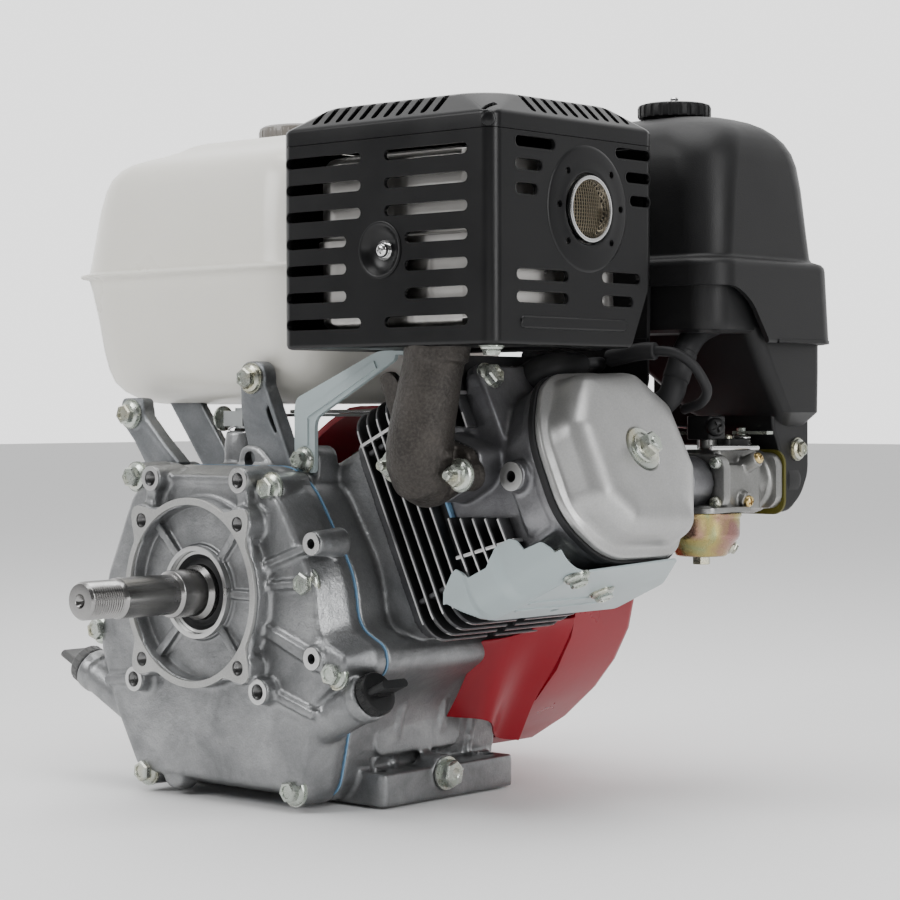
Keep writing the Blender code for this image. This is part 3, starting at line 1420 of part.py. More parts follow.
def breather_tube():
    """Hose from the valve chamber up to the air cleaner."""
    route = [(185, 185, 252), (198, 195, 262), (212, 203, 272), (228, 210, 279),
             (242, 220, 280), (254, 238, 277)]
    return cord("breather_tube", RUBBER, route, 8.0, 8)


# ---------------------------------------------------------------- build

def build():
    crankcase()
    crankcase_cover()
    crankcase_gasket()
    drain_bolt()
    oil_filler_cap("oil_filler_cap_right", 1)
    oil_filler_cap("oil_filler_cap_left", -1)
    cylinder_head()
    for label, sign in (("exhaust", -1), ("intake", 1)):
        valve(label + "_valve", sign)
        rocker_arm(label + "_rocker", sign)
        pushrod(label + "_pushrod", sign)
    rocker_guide_plate()
    rocker_cover_gasket()
    rocker_cover()
    rocker_cover_bolt()
    exhaust_manifold()
    muffler()
    muffler_shield()
    muffler_shield_lid()
    spark_arrester()
    muffler_bracket()
    fuel_tank()
    fuel_cap()
    air_cleaner_cover()
    air_cleaner_case()
    air_cleaner_element()
    air_cleaner_knob()
    carburetor_body()
    float_bowl()
    butterfly("throttle_valve", THROTTLE_D, -26, radians(20))
    butterfly("choke_valve", CHOKE_D, 24, radians(90))
    carburetor_gasket()
    crankshaft()
    crank_gear()
    camshaft()
    bearing("front_bearing", 23, 39)
    bearing("rear_bearing", 173.5, 184.5)
    oil_seal()
    piston()
    gudgeon_pin()
    connecting_rod()
    flywheel()
    cooling_fan()
    starter_cup()
    fan_housing()
    recoil_housing()
    starter_reel()
    starter_grip()
    lower_shroud()
    spark_plug()
    spark_plug_cap()
    ignition_coil()
    ignition_lead()
    breather_tube()
    governor_arm()
    control_lever()
    fuel_valve_lever()
    engine_switch()


for leftover in list(bpy.data.objects):
    bpy.data.objects.remove(leftover)
build()
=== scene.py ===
"""Looks of a small horizontal-shaft gasoline engine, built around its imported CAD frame.

Lengths are in millimetres in the shape code and in metres once they reach an object.
x runs towards the cylinder head, d backwards from the drive flange face, z up.
"""

from math import atan2, cos, pi, radians, sin, sqrt

import bmesh
import bpy
from mathutils import Matrix, Vector, noise


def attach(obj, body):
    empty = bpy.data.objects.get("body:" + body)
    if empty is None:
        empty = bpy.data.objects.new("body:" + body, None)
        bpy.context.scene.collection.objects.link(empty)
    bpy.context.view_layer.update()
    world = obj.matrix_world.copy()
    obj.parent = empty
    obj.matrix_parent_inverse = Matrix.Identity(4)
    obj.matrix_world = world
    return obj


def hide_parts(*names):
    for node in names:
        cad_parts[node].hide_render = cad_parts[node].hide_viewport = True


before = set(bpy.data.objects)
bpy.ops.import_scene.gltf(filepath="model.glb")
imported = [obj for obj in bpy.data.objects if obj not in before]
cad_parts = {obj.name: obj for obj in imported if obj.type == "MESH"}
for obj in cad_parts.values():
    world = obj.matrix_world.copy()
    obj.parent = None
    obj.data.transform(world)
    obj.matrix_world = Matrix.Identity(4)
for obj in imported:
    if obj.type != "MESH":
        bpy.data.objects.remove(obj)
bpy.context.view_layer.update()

MM = 0.001
DENSE_MESH = 40000

# main dimensions
CRANK_HEIGHT = 133.0
FOOT_DEPTH = 122.5
FOOT_SPAN_X = 195.0
FOOT_SPAN_D = 103.0
LEAN = radians(25.0)
CYLINDER_D = 121.0
DECK = 169.0
HEAD_TOP = 247.0
SHAFT_LENGTH = 88.0
COVER_BACK = 44.7
CASE_FRONT = 46.0
CASE_BACK = 190.0
PIVOT_V = -30.0
PLUG_V = 45.0
THROW = 32.0
JOURNAL_R = 17.5
BORE_HOLE_R = 44.0

# hexagon heads, measured across their flats
M8_HEAD = 12.0
M6_HEAD = 10.0
SMALL_HEAD = 9.0

# directions in x, d, z
FORWARDS = (0, -1, 0)
ALONG_BORE = (cos(LEAN), 0, sin(LEAN))
UNDER_BORE = (sin(LEAN), 0, -cos(LEAN))


# ---------------------------------------------------------------- placing

def front(x, z, d):
    """Drawn facing the output shaft, raised along the crankshaft."""
    return Vector((x, d - FOOT_DEPTH, z))


def top(x, d, z):
    """Drawn from above, raised upwards."""
    return Vector((x, d - FOOT_DEPTH, z))


def side(d, z, x):
    """Drawn facing the cylinder head, raised outwards."""
    return Vector((x, d - FOOT_DEPTH, z))


def bore(d, v, s):
    """Drawn looking along the cylinder, raised from the crank axis."""
    x = s * cos(LEAN) - v * sin(LEAN)
    z = CRANK_HEIGHT + s * sin(LEAN) + v * cos(LEAN)
    return Vector((x, d - FOOT_DEPTH, z))


def bore_side(s, v, d):
    """Drawn on a plane square to the crankshaft in cylinder directions."""
    return bore(d, v, s)


def bore_x(v, s):
    return bore(0.0, v, s).x


def bore_z(v, s):
    return bore(0.0, v, s).z


# ---------------------------------------------------------------- outlines

def circle(radius, steps, u=0.0, v=0.0, start=0.0):
    """Points around a circle."""
    turn = 2.0 * pi / steps
    return [
        (u + radius * cos(start + turn * i), v + radius * sin(start + turn * i))
        for i in range(steps)
    ]


def rounded(points, radius, steps=2):
    """A polygon with every corner turned into a small arc of straight pieces."""
    outline = []
    count = len(points)
    for i in range(count):
        here = Vector(points[i])
        before = (Vector(points[i - 1]) - here)
        after = (Vector(points[(i + 1) % count]) - here)
        reach = min(radius, 0.45 * before.length, 0.45 * after.length)
        first = here + before.normalized() * reach
        last = here + after.normalized() * reach
        for k in range(steps + 1):
            t = k / steps
            point = first * (1 - t) ** 2 + here * 2 * t * (1 - t) + last * t ** 2
            outline.append((point.x, point.y))
    return outline


def box_outline(u0, u1, v0, v1):
    return [(u0, v0), (u1, v0), (u1, v1), (u0, v1)]


def rounded_box(u0, u1, v0, v1, radius, steps=3):
    """A rectangle with arcs of the given radius at its corners."""
    outline = []
    corners = [(u1 - radius, v1 - radius), (u0 + radius, v1 - radius),
               (u0 + radius, v0 + radius), (u1 - radius, v0 + radius)]
    for quarter, (cu, cv) in enumerate(corners):
        for k in range(steps + 1):
            angle = pi / 2.0 * (quarter + k / steps)
            outline.append((cu + radius * cos(angle), cv + radius * sin(angle)))
    return outline


def inset(outline, amount):
    """The outline moved inwards by the amount, corner by corner."""
    count = len(outline)
    area = sum(
        outline[i - 1][0] * outline[i][1] - outline[i][0] * outline[i - 1][1]
        for i in range(count)
    )
    turn = 1.0 if area > 0 else -1.0
    moved = []
    for i in range(count):
        here = Vector(outline[i])
        before = (here - Vector(outline[i - 1])).normalized()
        after = (Vector(outline[(i + 1) % count]) - here).normalized()
        normal = Vector((-before.y - after.y, before.x + after.x)) * turn
        normal.normalize()
        edge = Vector((-before.y, before.x)) * turn
        stretch = max(0.5, normal.dot(edge))
        point = here + normal * (amount / stretch)
        moved.append((point.x, point.y))
    return moved


def offset_rounded(points, amount, radius, steps=2):
    """The polygon moved inwards by the amount, then rounded."""
    return rounded(inset(points, amount), max(radius - amount, 3.0), steps)


# ---------------------------------------------------------------- shapes

def prism(outline, low, high, place):
    """The outline raised from low to high."""
    return loft([(outline, low), (outline, high)], place)


def loft(sections, place):
    """A closed body through outlines with equally many points, each at its own height."""
    shape = bmesh.new()
    rings = []
    for outline, height in sections:
        rings.append([shape.verts.new(place(u, v, height) * MM) for u, v in outline])
    count = len(rings[0])
    for lower, upper in zip(rings, rings[1:]):
        for i in range(count):
            k = (i + 1) % count
            shape.faces.new((lower[i], lower[k], upper[k], upper[i]))
    shape.faces.new(rings[0])
    shape.faces.new(list(reversed(rings[-1])))
    bmesh.ops.recalc_face_normals(shape, faces=shape.faces)
    return shape


def turned(profile, place, u=0.0, v=0.0, steps=24):
    """A solid turned about the raised direction; the profile is (radius, height)."""
    return loft([(circle(radius, steps, u, v), height) for radius, height in profile], place)


def drum(radius, low, high, place, u=0.0, v=0.0, steps=24):
    """A plain round cylinder, solid or taken away as a hole."""
    return turned([(radius, low), (radius, high)], place, u, v, steps)


def hoop(levels, place):
    """A closed band through (outline, height) loops with equally many points."""
    shape = bmesh.new()
    rows = [[shape.verts.new(place(a, b, height) * MM) for a, b in outline]
            for outline, height in levels]
    bridge(shape, rows + [rows[0]])
    bmesh.ops.recalc_face_normals(shape, faces=shape.faces)
    return shape


def lathe(profile, place, centre, steps):
    """A closed profile of (radius, height) swept round an axis, like a tyre."""
    return hoop([(circle(radius, steps, *centre), height) for radius, height in profile],
                place)


def ring(inner, outer, low, high, place, u=0.0, v=0.0, steps=24):
    """A plain tube."""
    corners = [(inner, low), (outer, low), (outer, high), (inner, high)]
    return lathe(corners, place, (u, v), steps)


def tube_along(points, radii, steps=10):
    """A round bar through points in x, d, z, with a radius at each."""
    path = [top(*point) * MM for point in points]
    shape = bmesh.new()
    outer = sweep_rings(shape, path, [radius * MM for radius in radii], steps)
    bridge(shape, outer)
    shape.faces.new(outer[0])
    shape.faces.new(outer[-1])
    bmesh.ops.recalc_face_normals(shape, faces=shape.faces)
    return shape


def sweep_rings(shape, path, radii, steps):
    """Rings of vertices square to the path, kept from twisting."""
    rings = []
    across = None
    for i, point in enumerate(path):
        along = (path[min(i + 1, len(path) - 1)] - path[max(i - 1, 0)]).normalized()
        if across is None:
            guide = Vector((0, 0, 1)) if abs(along.z) < 0.9 else Vector((0, 1, 0))
            across = along.cross(guide)
        across = (across - along * across.dot(along)).normalized()
        other = along.cross(across)
        rings.append([
            shape.verts.new(point + (across * a + other * b))
            for a, b in circle(radii[i], steps)
        ])
    return rings


def bridge(shape, rings):
    """Faces between each ring of vertices and the next."""
    for first, second in zip(rings, rings[1:]):
        count = len(first)
        for i in range(count):
            k = (i + 1) % count
            shape.faces.new((first[i], first[k], second[k], second[i]))


def notches(count, reach, radius, low, high, place, u=0.0, v=0.0, steps=10):
    """Small drums on a circle round (u, v), which cut the flutes of a grip."""
    return together(*[drum(radius, low, high, place, a, b, steps)
                      for a, b in circle(reach, count, u, v)])


def together(*shapes):
    """Shapes that don't touch, held in one operand."""
    whole = bmesh.new()
    for shape in shapes:
        copy = bpy.data.meshes.new("copy")
        shape.to_mesh(copy)
        whole.from_mesh(copy)
        bpy.data.meshes.remove(copy)
        shape.free()
    return whole


# ---------------------------------------------------------------- materials

class Look:
    """A procedural material under construction, with short helpers for its nodes."""

    def __init__(self, name):
        self.material = bpy.data.materials.new(name)
        self.material.use_nodes = True
        self.tree = self.material.node_tree
        self.shader = self.tree.nodes["Principled BSDF"]
        self.place = self.add("ShaderNodeTexCoord").outputs["Object"]

    def add(self, kind, **settings):
        node = self.tree.nodes.new(kind)
        for key, value in settings.items():
            setattr(node, key, value)
        return node

    def feed(self, socket, value):
        """A link where the value is a socket, a plain value otherwise."""
        if isinstance(value, bpy.types.NodeSocket):
            self.tree.links.new(value, socket)
        elif hasattr(socket.default_value, "__len__") and not hasattr(value, "__len__"):
            socket.default_value = (value,) * len(socket.default_value)
        elif hasattr(value, "__len__") and len(socket.default_value) == 4 and len(value) == 3:
            socket.default_value = (*value, 1.0)
        else:
            socket.default_value = value

    def set(self, **values):
        for name, value in values.items():
            self.feed(self.shader.inputs[name.replace("_", " ").title().replace("Ior", "IOR")],
                      value)

    def noise(self, scale, detail=4.0, rough=0.55, distort=0.0):
        node = self.add("ShaderNodeTexNoise")
        self.feed(node.inputs["Vector"], self.place)
        node.inputs["Scale"].default_value = scale
        node.inputs["Detail"].default_value = detail
        node.inputs["Roughness"].default_value = rough
        node.inputs["Distortion"].default_value = distort
        return node.outputs["Fac"]

    def cells(self, scale):
        node = self.add("ShaderNodeTexVoronoi", feature="F1")
        self.feed(node.inputs["Vector"], self.place)
        node.inputs["Scale"].default_value = scale
        return node.outputs["Distance"]

    def waves(self, scale, direction, distort=0.0):
        node = self.add("ShaderNodeTexWave", wave_type="BANDS", bands_direction=direction)
        self.feed(node.inputs["Vector"], self.place)
        node.inputs["Scale"].default_value = scale
        node.inputs["Distortion"].default_value = distort
        return node.outputs["Fac"]

    def remap(self, value, low, high, new_low, new_high):
        node = self.add("ShaderNodeMapRange")
        self.feed(node.inputs["Value"], value)
        for name, number in (("From Min", low), ("From Max", high), ("To Min", new_low),
                             ("To Max", new_high)):
            node.inputs[name].default_value = number
        return node.outputs["Result"]

    def mix(self, factor, a, b, blend="MIX"):
        node = self.add("ShaderNodeMix", data_type="RGBA", blend_type=blend)
        self.feed(node.inputs[0], factor)
        self.feed(node.inputs[6], a)
        self.feed(node.inputs[7], b)
        return node.outputs[2]

    def ramp(self, factor, *stops):
        node = self.add("ShaderNodeValToRGB")
        self.feed(node.inputs[0], factor)
        elements = node.color_ramp.elements
        while len(elements) < len(stops):
            elements.new(0.5)
        for element, (position, colour) in zip(elements, stops):
            element.position = position
            element.color = (*colour, 1.0)
        return node.outputs["Color"]

    def painted_corner_shade(self, reach, low=0.35):
        """Painted shade: dark in corners and recesses within the reach, in metres; 1 on open faces.
        """
        node = self.add("ShaderNodeAmbientOcclusion", samples=6)
        node.inputs["Distance"].default_value = reach
        return self.remap(node.outputs["AO"], 0.25, 0.9, low, 1.0)

    def bump(self, *layers):
        """Height layers, each (value, depth in metres), one on another."""
        normal = None
        for value, depth in layers:
            node = self.add("ShaderNodeBump")
            node.inputs["Strength"].default_value = 1.0
            node.inputs["Distance"].default_value = depth
            self.feed(node.inputs["Height"], value)
            if normal is not None:
                self.tree.links.new(normal, node.inputs["Normal"])
            normal = node.outputs["Normal"]
        self.feed(self.shader.inputs["Normal"], normal)


def cast_look(name, bright, dull, rough, grain=0.00012, corner_shade=0.45, metallic=0.85):
    """Die-cast metal: fine pitted grain, soft flow marks and painted shade in its corners."""
    look = Look(name)
    clouds = look.noise(28.0, 6.0, 0.6, 0.4)
    grit = look.noise(900.0, 3.0, 0.6)
    tone = look.mix(look.remap(clouds, 0.35, 0.68, 0.0, 1.0), bright, dull)
    tone = look.mix(look.remap(grit, 0.3, 0.7, 0.0, 0.18), tone, (0.05, 0.05, 0.05))
    # painted shade: ambient occlusion darkens the colour in corners and recesses
    shade = look.painted_corner_shade(0.012, corner_shade)
    tone = look.mix(1.0, tone, look.mix(shade, (0.0, 0.0, 0.0), (1.0, 1.0, 1.0)), "MULTIPLY")
    look.set(base_color=tone, metallic=metallic,
             roughness=look.remap(clouds, 0.3, 0.7, rough - 0.06, rough + 0.1))
    look.bump((grit, grain), (look.noise(160.0, 3.0), grain * 2.4))
    return look.material


def machined_look(name, colour, rough=0.22, along="Y", lines=900.0, depth=0.000006):
    """Turned or ground steel: fine tool lines and a slight colour drift."""
    look = Look(name)
    lines_height = look.waves(lines, along, 1.5)
    drift = look.noise(45.0, 4.0)
    tone = look.mix(look.remap(drift, 0.35, 0.65, 0.0, 0.25), colour,
                    tuple(c * 0.72 for c in colour))
    look.set(base_color=tone, metallic=1.0,
             roughness=look.remap(drift, 0.3, 0.7, rough - 0.05, rough + 0.08))
    look.bump((lines_height, depth), (look.noise(700.0, 2.0), 0.15 * depth))
    return look.material


def paint_look(name, colour, rough, peel=0.00004, coat=0.0, peel_scale=260.0, dust=0.06,
               shine=0.5):
    """Sprayed paint: faint orange peel and uneven gloss."""
    look = Look(name)
    peel_height = look.noise(peel_scale, 2.0, 0.4)
    drift = look.noise(14.0, 5.0)
    tone = look.mix(look.remap(drift, 0.35, 0.7, 0.0, dust), colour,
                    tuple(min(1.0, c * 0.85 + 0.008) for c in colour))
    look.set(base_color=tone, metallic=0.0, coat_weight=coat, coat_roughness=0.12,
             specular_ior_level=shine,
             roughness=look.remap(drift, 0.3, 0.7, rough - 0.04, rough + 0.05))
    look.bump((peel_height, peel))
    return look.material


def plastic_look(name, colour, rough, grain=0.00005, scale=1400.0):
    """Moulded plastic with a fine spark-eroded grain."""
    look = Look(name)
    grain_height = look.cells(scale)
    drift = look.noise(18.0, 4.0)
    tone = look.mix(look.remap(drift, 0.35, 0.7, 0.0, 0.5), colour,
                    tuple(min(1.0, c * 1.4 + 0.002) for c in colour))
    look.set(base_color=tone, metallic=0.0, specular_ior_level=0.32,
             roughness=look.remap(drift, 0.3, 0.7, rough - 0.05, rough + 0.06))
    look.bump((grain_height, grain))
    return look.material


def zinc_look(name, stops, rough=0.3):
    """Passivated zinc plate with drifting colour."""
    look = Look(name)
    drift = look.noise(38.0, 3.0, 0.5, 0.6)
    tone = look.ramp(drift, *stops)
    look.set(base_color=tone, metallic=0.9,
             roughness=look.remap(look.noise(240.0), 0.3, 0.7, rough - 0.05, rough + 0.12))
    look.bump((look.noise(600.0, 3.0), 0.000003))
    return look.material


def iron_look(name):
    """Sand-cast iron with a coarse pebbled skin and brown heat tint."""
    look = Look(name)
    pebbles = look.noise(620.0, 4.0, 0.65)
    lumps = look.cells(420.0)
    clouds = look.noise(40.0, 5.0)
    tone = look.mix(look.remap(clouds, 0.35, 0.68, 0.0, 1.0), (0.026, 0.023, 0.021),
                    (0.05, 0.044, 0.039))
    tone = look.mix(look.remap(pebbles, 0.4, 0.75, 0.0, 0.5), tone, (0.10, 0.09, 0.08))
    look.set(base_color=tone, metallic=0.6, roughness=0.5)
    look.bump((pebbles, 0.00035), (lumps, 0.00025))
    return look.material


def paper_look(name, colour):
    """Pleated filter paper, darker in bands along its pleats as painted shade of the folds."""
    look = Look(name)
    pleats = look.waves(90.0, "X")
    # painted shade: the colour darkens with the pleat pattern
    look.set(base_color=look.mix(pleats, colour, tuple(c * 0.6 for c in colour)),
             roughness=0.9)
    look.bump((pleats, 0.001))
    return look.material


ALU = cast_look("cast_aluminium", (0.36, 0.365, 0.37), (0.21, 0.215, 0.22), 0.36, 0.00018,
                corner_shade=0.7)
ALU_FINS = cast_look("fin_aluminium", (0.13, 0.13, 0.135), (0.07, 0.07, 0.075), 0.5, corner_shade=0.3)
ALU_EDGE = machined_look("machined_aluminium", (0.62, 0.62, 0.615), 0.30, "Z", 500.0)
HEAD_ALU = cast_look("head_aluminium", (0.26, 0.26, 0.27), (0.15, 0.15, 0.16), 0.42, corner_shade=0.5)
ARM_ALU = cast_look("arm_aluminium", (0.28, 0.29, 0.30), (0.17, 0.18, 0.19), 0.4, corner_shade=0.5)
CARB_ALU = cast_look("carburettor_alloy", (0.38, 0.38, 0.37), (0.27, 0.27, 0.26), 0.36,
                     grain=0.00006)
STEEL = machined_look("turned_steel", (0.34, 0.335, 0.33), 0.22, "Y", 1100.0)
BRIGHT = machined_look("bright_steel", (0.72, 0.72, 0.72), 0.18, "Z", 400.0)
MUFFLER_STEEL = machined_look("pressed_steel", (0.80, 0.78, 0.75), 0.32, "X", 60.0, 0.00005)
COVER_SILVER = cast_look("silver_lacquer", (0.47, 0.47, 0.465), (0.43, 0.43, 0.425), 0.40,
                         grain=0.00003, corner_shade=0.9, metallic=0.72)
IRON = iron_look("cast_iron")
BLACK_PAINT = paint_look("black_heat_paint", (0.004, 0.004, 0.0045), 0.32, 0.00002,
                         peel_scale=500.0, dust=0.2, shine=0.3)
BLACK_PLASTIC = plastic_look("black_plastic", (0.006, 0.006, 0.0065), 0.40)
BLACK_RUBBER = plastic_look("black_rubber", (0.013, 0.013, 0.014), 0.55, 0.00003, 900.0)
CREAM = paint_look("cream_paint", (0.84, 0.82, 0.75), 0.3, 0.00003, 0.25, dust=0.25)
RED = paint_look("red_paint", (0.25, 0.0015, 0.010), 0.3, 0.00003, 0.1, dust=0.05,
                 shine=0.35)
PALE_BLUE = paint_look("pale_blue_plate", (0.38, 0.445, 0.455), 0.38, 0.00004, 0.0, 300.0, 0.3)
CAP_BROWN = paint_look("cap_metal", (0.16, 0.145, 0.13), 0.35, 0.00003, 0.2)
GASKET_BLUE = plastic_look("blue_gasket", (0.16, 0.30, 0.46), 0.6)
GASKET_OLIVE = plastic_look("olive_gasket", (0.075, 0.068, 0.008), 0.5)
BOLT_ZINC = zinc_look("bolt_zinc", [(0.3, (0.40, 0.44, 0.38)), (0.5, (0.50, 0.53, 0.49)),
                                    (0.7, (0.50, 0.47, 0.34))], 0.24)
BOWL_ZINC = zinc_look("bowl_zinc", [(0.34, (0.30, 0.33, 0.16)), (0.46, (0.40, 0.33, 0.12)),
                                    (0.54, (0.36, 0.26, 0.13)), (0.64, (0.32, 0.17, 0.15))],
                      0.22)
BRASS = machined_look("brass", (0.70, 0.52, 0.22), 0.28)
PAPER = paper_look("filter_paper", (0.60, 0.48, 0.26))
CERAMIC = paint_look("ceramic", (0.82, 0.82, 0.80), 0.2, 0.00001, 0.5)
# painted shade: plain black that stands in for the shade deep inside holes
HOLE_SHADE_BLACK = plastic_look("painted_hole_shade", (0.006, 0.006, 0.006), 0.8)
PLASTIC_GREY = plastic_look("grey_plastic", (0.10, 0.10, 0.10), 0.5)
FIN_EDGE = machined_look("fin_edge", (0.62, 0.62, 0.62), 0.34, "X", 300.0)
SCREEN_WIRE = machined_look("screen_wire", (0.30, 0.26, 0.19), 0.38, "X", 300.0)
# painted shade: a darkened copy of the machined metal for thread walls, so the tapped holes look dark
# inside
SHADED_THREAD_METAL = machined_look("shaded_thread_metal", (0.20, 0.20, 0.20), 0.3, "Y", 900.0)
SATIN_FACE = cast_look("milled_face", (0.50, 0.50, 0.49), (0.44, 0.44, 0.43), 0.46, 0.00003,
                       corner_shade=0.9, metallic=0.7)
CLEANER_BLACK = plastic_look("cleaner_plastic", (0.006, 0.006, 0.0065), 0.46)
SWITCH_RED = plastic_look("switch_plastic", (0.45, 0.01, 0.015), 0.35)
PLATED = machined_look("plated_sheet", (0.50, 0.52, 0.52), 0.34, "X", 120.0, 0.00003)


# ---------------------------------------------------------------- objects

def as_mesh_object(name, shape):
    mesh = bpy.data.meshes.new(name)
    shape.to_mesh(mesh)
    shape.free()
    thing = bpy.data.objects.new(name, mesh)
    bpy.context.scene.collection.objects.link(thing)
    return thing


def bake_modifiers(thing):
    """The modifiers' result becomes the object's own mesh."""
    graph = bpy.context.evaluated_depsgraph_get()
    result = bpy.data.meshes.new_from_object(thing.evaluated_get(graph))
    old = thing.data
    thing.modifiers.clear()
    thing.data = result
    bpy.data.meshes.remove(old)


def combine(thing, shapes, operation):
    for shape in shapes:
        tool = as_mesh_object("tool", shape)
        modifier = thing.modifiers.new("combine", "BOOLEAN")
        modifier.operation = operation
        modifier.solver = "EXACT"
        modifier.object = tool
        bake_modifiers(thing)
        bpy.data.objects.remove(tool)


def cut_away(thing, shapes):
    combine(thing, shapes, "DIFFERENCE")


def join_on(thing, shapes):
    combine(thing, shapes, "UNION")


def soften_edges(thing, width, segments=2, angle=35.0):
    bevel = thing.modifiers.new("edges", "BEVEL")
    bevel.width = width * MM
    bevel.segments = segments
    bevel.limit_method = "ANGLE"
    bevel.angle_limit = radians(angle)
    bevel.harden_normals = False


def add(name, shape, look, body="block", join=(), cut=(), bevel=0.0, angle=35.0,
        replaces=(), segments=2):
    """One finished crisp piece: joined, cut, edges softened, riding on its body."""
    thing = as_mesh_object(name, shape)
    join_on(thing, join)
    cut_away(thing, cut)
    if bevel:
        soften_edges(thing, bevel, segments, angle)
        bake_modifiers(thing)
    dress(thing, look, angle)
    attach(thing, body)
    if replaces:
        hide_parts(*replaces)
    return thing


def dress(thing, look, angle=35.0):
    """The material, and smooth shading that breaks at edges sharper than the angle."""
    mesh = thing.data
    mesh.materials.clear()
    mesh.materials.append(look)
    mesh.shade_smooth()
    mesh.set_sharp_from_angle(angle=radians(angle))
    if len(mesh.polygons) < DENSE_MESH:
        even = thing.modifiers.new("even", "WEIGHTED_NORMAL")
        even.keep_sharp = True
        bake_modifiers(thing)


def melt(thing, voxel):
    """Remeshes the object's overlapping shapes into one even skin."""
    remesh = thing.modifiers.new("flow", "REMESH")
    remesh.mode = "VOXEL"
    remesh.voxel_size = voxel * MM


def cast_piece(name, shapes, look, voxel, rounds, cut=(), late_cut=(), roughen=0.0):
    """A casting: the shapes flow together with fillets, then machined cuts are taken."""
    thing = as_mesh_object(name, together(*shapes))
    melt(thing, voxel)
    if cut:
        bake_modifiers(thing)
        cut_away(thing, cut)
        melt(thing, voxel)
    smooth = thing.modifiers.new("fillets", "SMOOTH")
    smooth.factor = 0.5
    smooth.iterations = rounds
    bake_modifiers(thing)
    if roughen:
        for vertex in thing.data.vertices:
            lump = noise.noise(vertex.co * 180.0) + 0.5 * noise.noise(vertex.co * 420.0)
            vertex.co += vertex.normal * lump * roughen * MM
    cut_away(thing, late_cut)
    dress(thing, look, 50.0)
    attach(thing, "block")
    return thing


def second_look(thing, look, chosen):
    """Gives the faces that chosen(centre, normal) accepts a second material."""
    thing.data.materials.append(look)
    for face in thing.data.polygons:
        if chosen(face.center, face.normal):
            face.material_index = 1


def node_look(node, look, bevel=0.0):
    """A CAD node that stays as it is, with its material and softened edges."""
    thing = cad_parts[node]
    thing.data.materials.clear()
    thing.data.materials.append(look)
    if bevel:
        soften_edges(thing, bevel)


def direction_place(centre, axis, spin=0.0):
    """Drawn square to a free axis through a centre given in x, d, z."""
    along = Vector(axis).normalized()
    guide = Vector((0, 0, 1)) if abs(along.z) < 0.9 else Vector((0, 1, 0))
    across = along.cross(guide).normalized()
    upward = across.cross(along)
    turn = Matrix.Rotation(spin, 3, along)
    across = turn @ across
    upward = turn @ upward
    start = top(*centre)

    def place(u, v, h):
        return start + across * u + upward * v + along * h
    return place


def hex_bolt(name, centre, axis, size, body="block", washer=True, tall=7.5, spin=0.2,
             stud=0.0):
    """Flanged hexagon bolt head, its seat at the centre, pointing along the axis."""
    place = direction_place(centre, axis, spin)
    across = size / 2.0 / cos(pi / 6)
    flange = turned([(size * 0.74, 0.0), (size * 0.76, 0.6), (size * 0.72, 1.6),
                     (across * 0.95, 2.6)], place, steps=32)
    head = loft([(circle(across, 6), 1.2), (circle(across, 6), tall - 1.2),
                 (circle(across * 0.86, 6), tall)], place)
    dish = turned([(size * 0.30, tall - 0.9), (size * 0.36, tall + 1.0)], place, steps=24)
    parts = [head]
    if stud:
        parts.append(turned([(size * 0.26, tall - 1.0), (size * 0.26, tall + stud - 0.8),
                             (size * 0.20, tall + stud)], place, steps=20))
    if washer:
        parts.append(drum(size * 0.84, -1.4, 0.2, place, steps=32))
    cuts = [] if stud else [dish]
    return add(name, flange, BOLT_ZINC, body, join=parts, cut=cuts, bevel=0.25, angle=25.0)


def threads(name, centre, axis, radius, length, pitch, look):
    """Thread lines inside a hole, as a stack of ridges."""
    count = max(2, int(length / pitch))
    depth = 0.6
    wall = 0.8
    profile = []
    for i in range(count):
        base = pitch * i
        profile += [(radius, base), (radius - depth, base + pitch * 0.5)]
    end = pitch * count
    profile += [(radius, end), (radius + wall, end), (radius + wall, 0.0)]
    shape = lathe(profile, direction_place(centre, axis), (0.0, 0.0), 28)
    return add(name, shape, look, angle=20.0)


def pipe(name, points, radius, look, steps=16):
    """A smooth round cord, wire or hose through points in x, d, z."""
    path = smooth_route([Vector(point) for point in points], 6)
    shape = tube_along(path, [radius] * len(path), steps)
    return add(name, shape, look, bevel=min(0.4 * radius, 0.8), angle=60.0)


def smooth_route(points, steps):
    """Points read from a curve that passes through every route point."""
    padded = [points[0] * 2 - points[1], *points, points[-1] * 2 - points[-2]]
    path = []
    for i in range(1, len(padded) - 2):
        a, b, c, e = padded[i - 1:i + 3]
        for k in range(steps):
            t = k / steps
            path.append(0.5 * (b * 2 + (c - a) * t + (a * 2 - b * 5 + c * 4 - e) * t * t
                               + (b * 3 - a - c * 3 + e) * t * t * t))
    path.append(padded[-2])
    return path


def pressed_sheet(name, rows, thick, look):
    """Bent sheet metal through rows of points in x, d, z, given an even thickness."""
    shape = bmesh.new()
    grid = [[shape.verts.new(top(*point) * MM) for point in row] for row in rows]
    for first, second in zip(grid, grid[1:]):
        for i in range(len(first) - 1):
            shape.faces.new((first[i], first[i + 1], second[i + 1], second[i]))
    thing = as_mesh_object(name, shape)
    wall = thing.modifiers.new("wall", "SOLIDIFY")
    wall.thickness = thick * MM
    wall.offset = 0.0
    bake_modifiers(thing)
    soften_edges(thing, 0.35 * thick, 2, 60.0)
    bake_modifiers(thing)
    dress(thing, look, 50.0)
    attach(thing, "block")
    return thing


# ---------------------------------------------------------------- crankcase and its cover

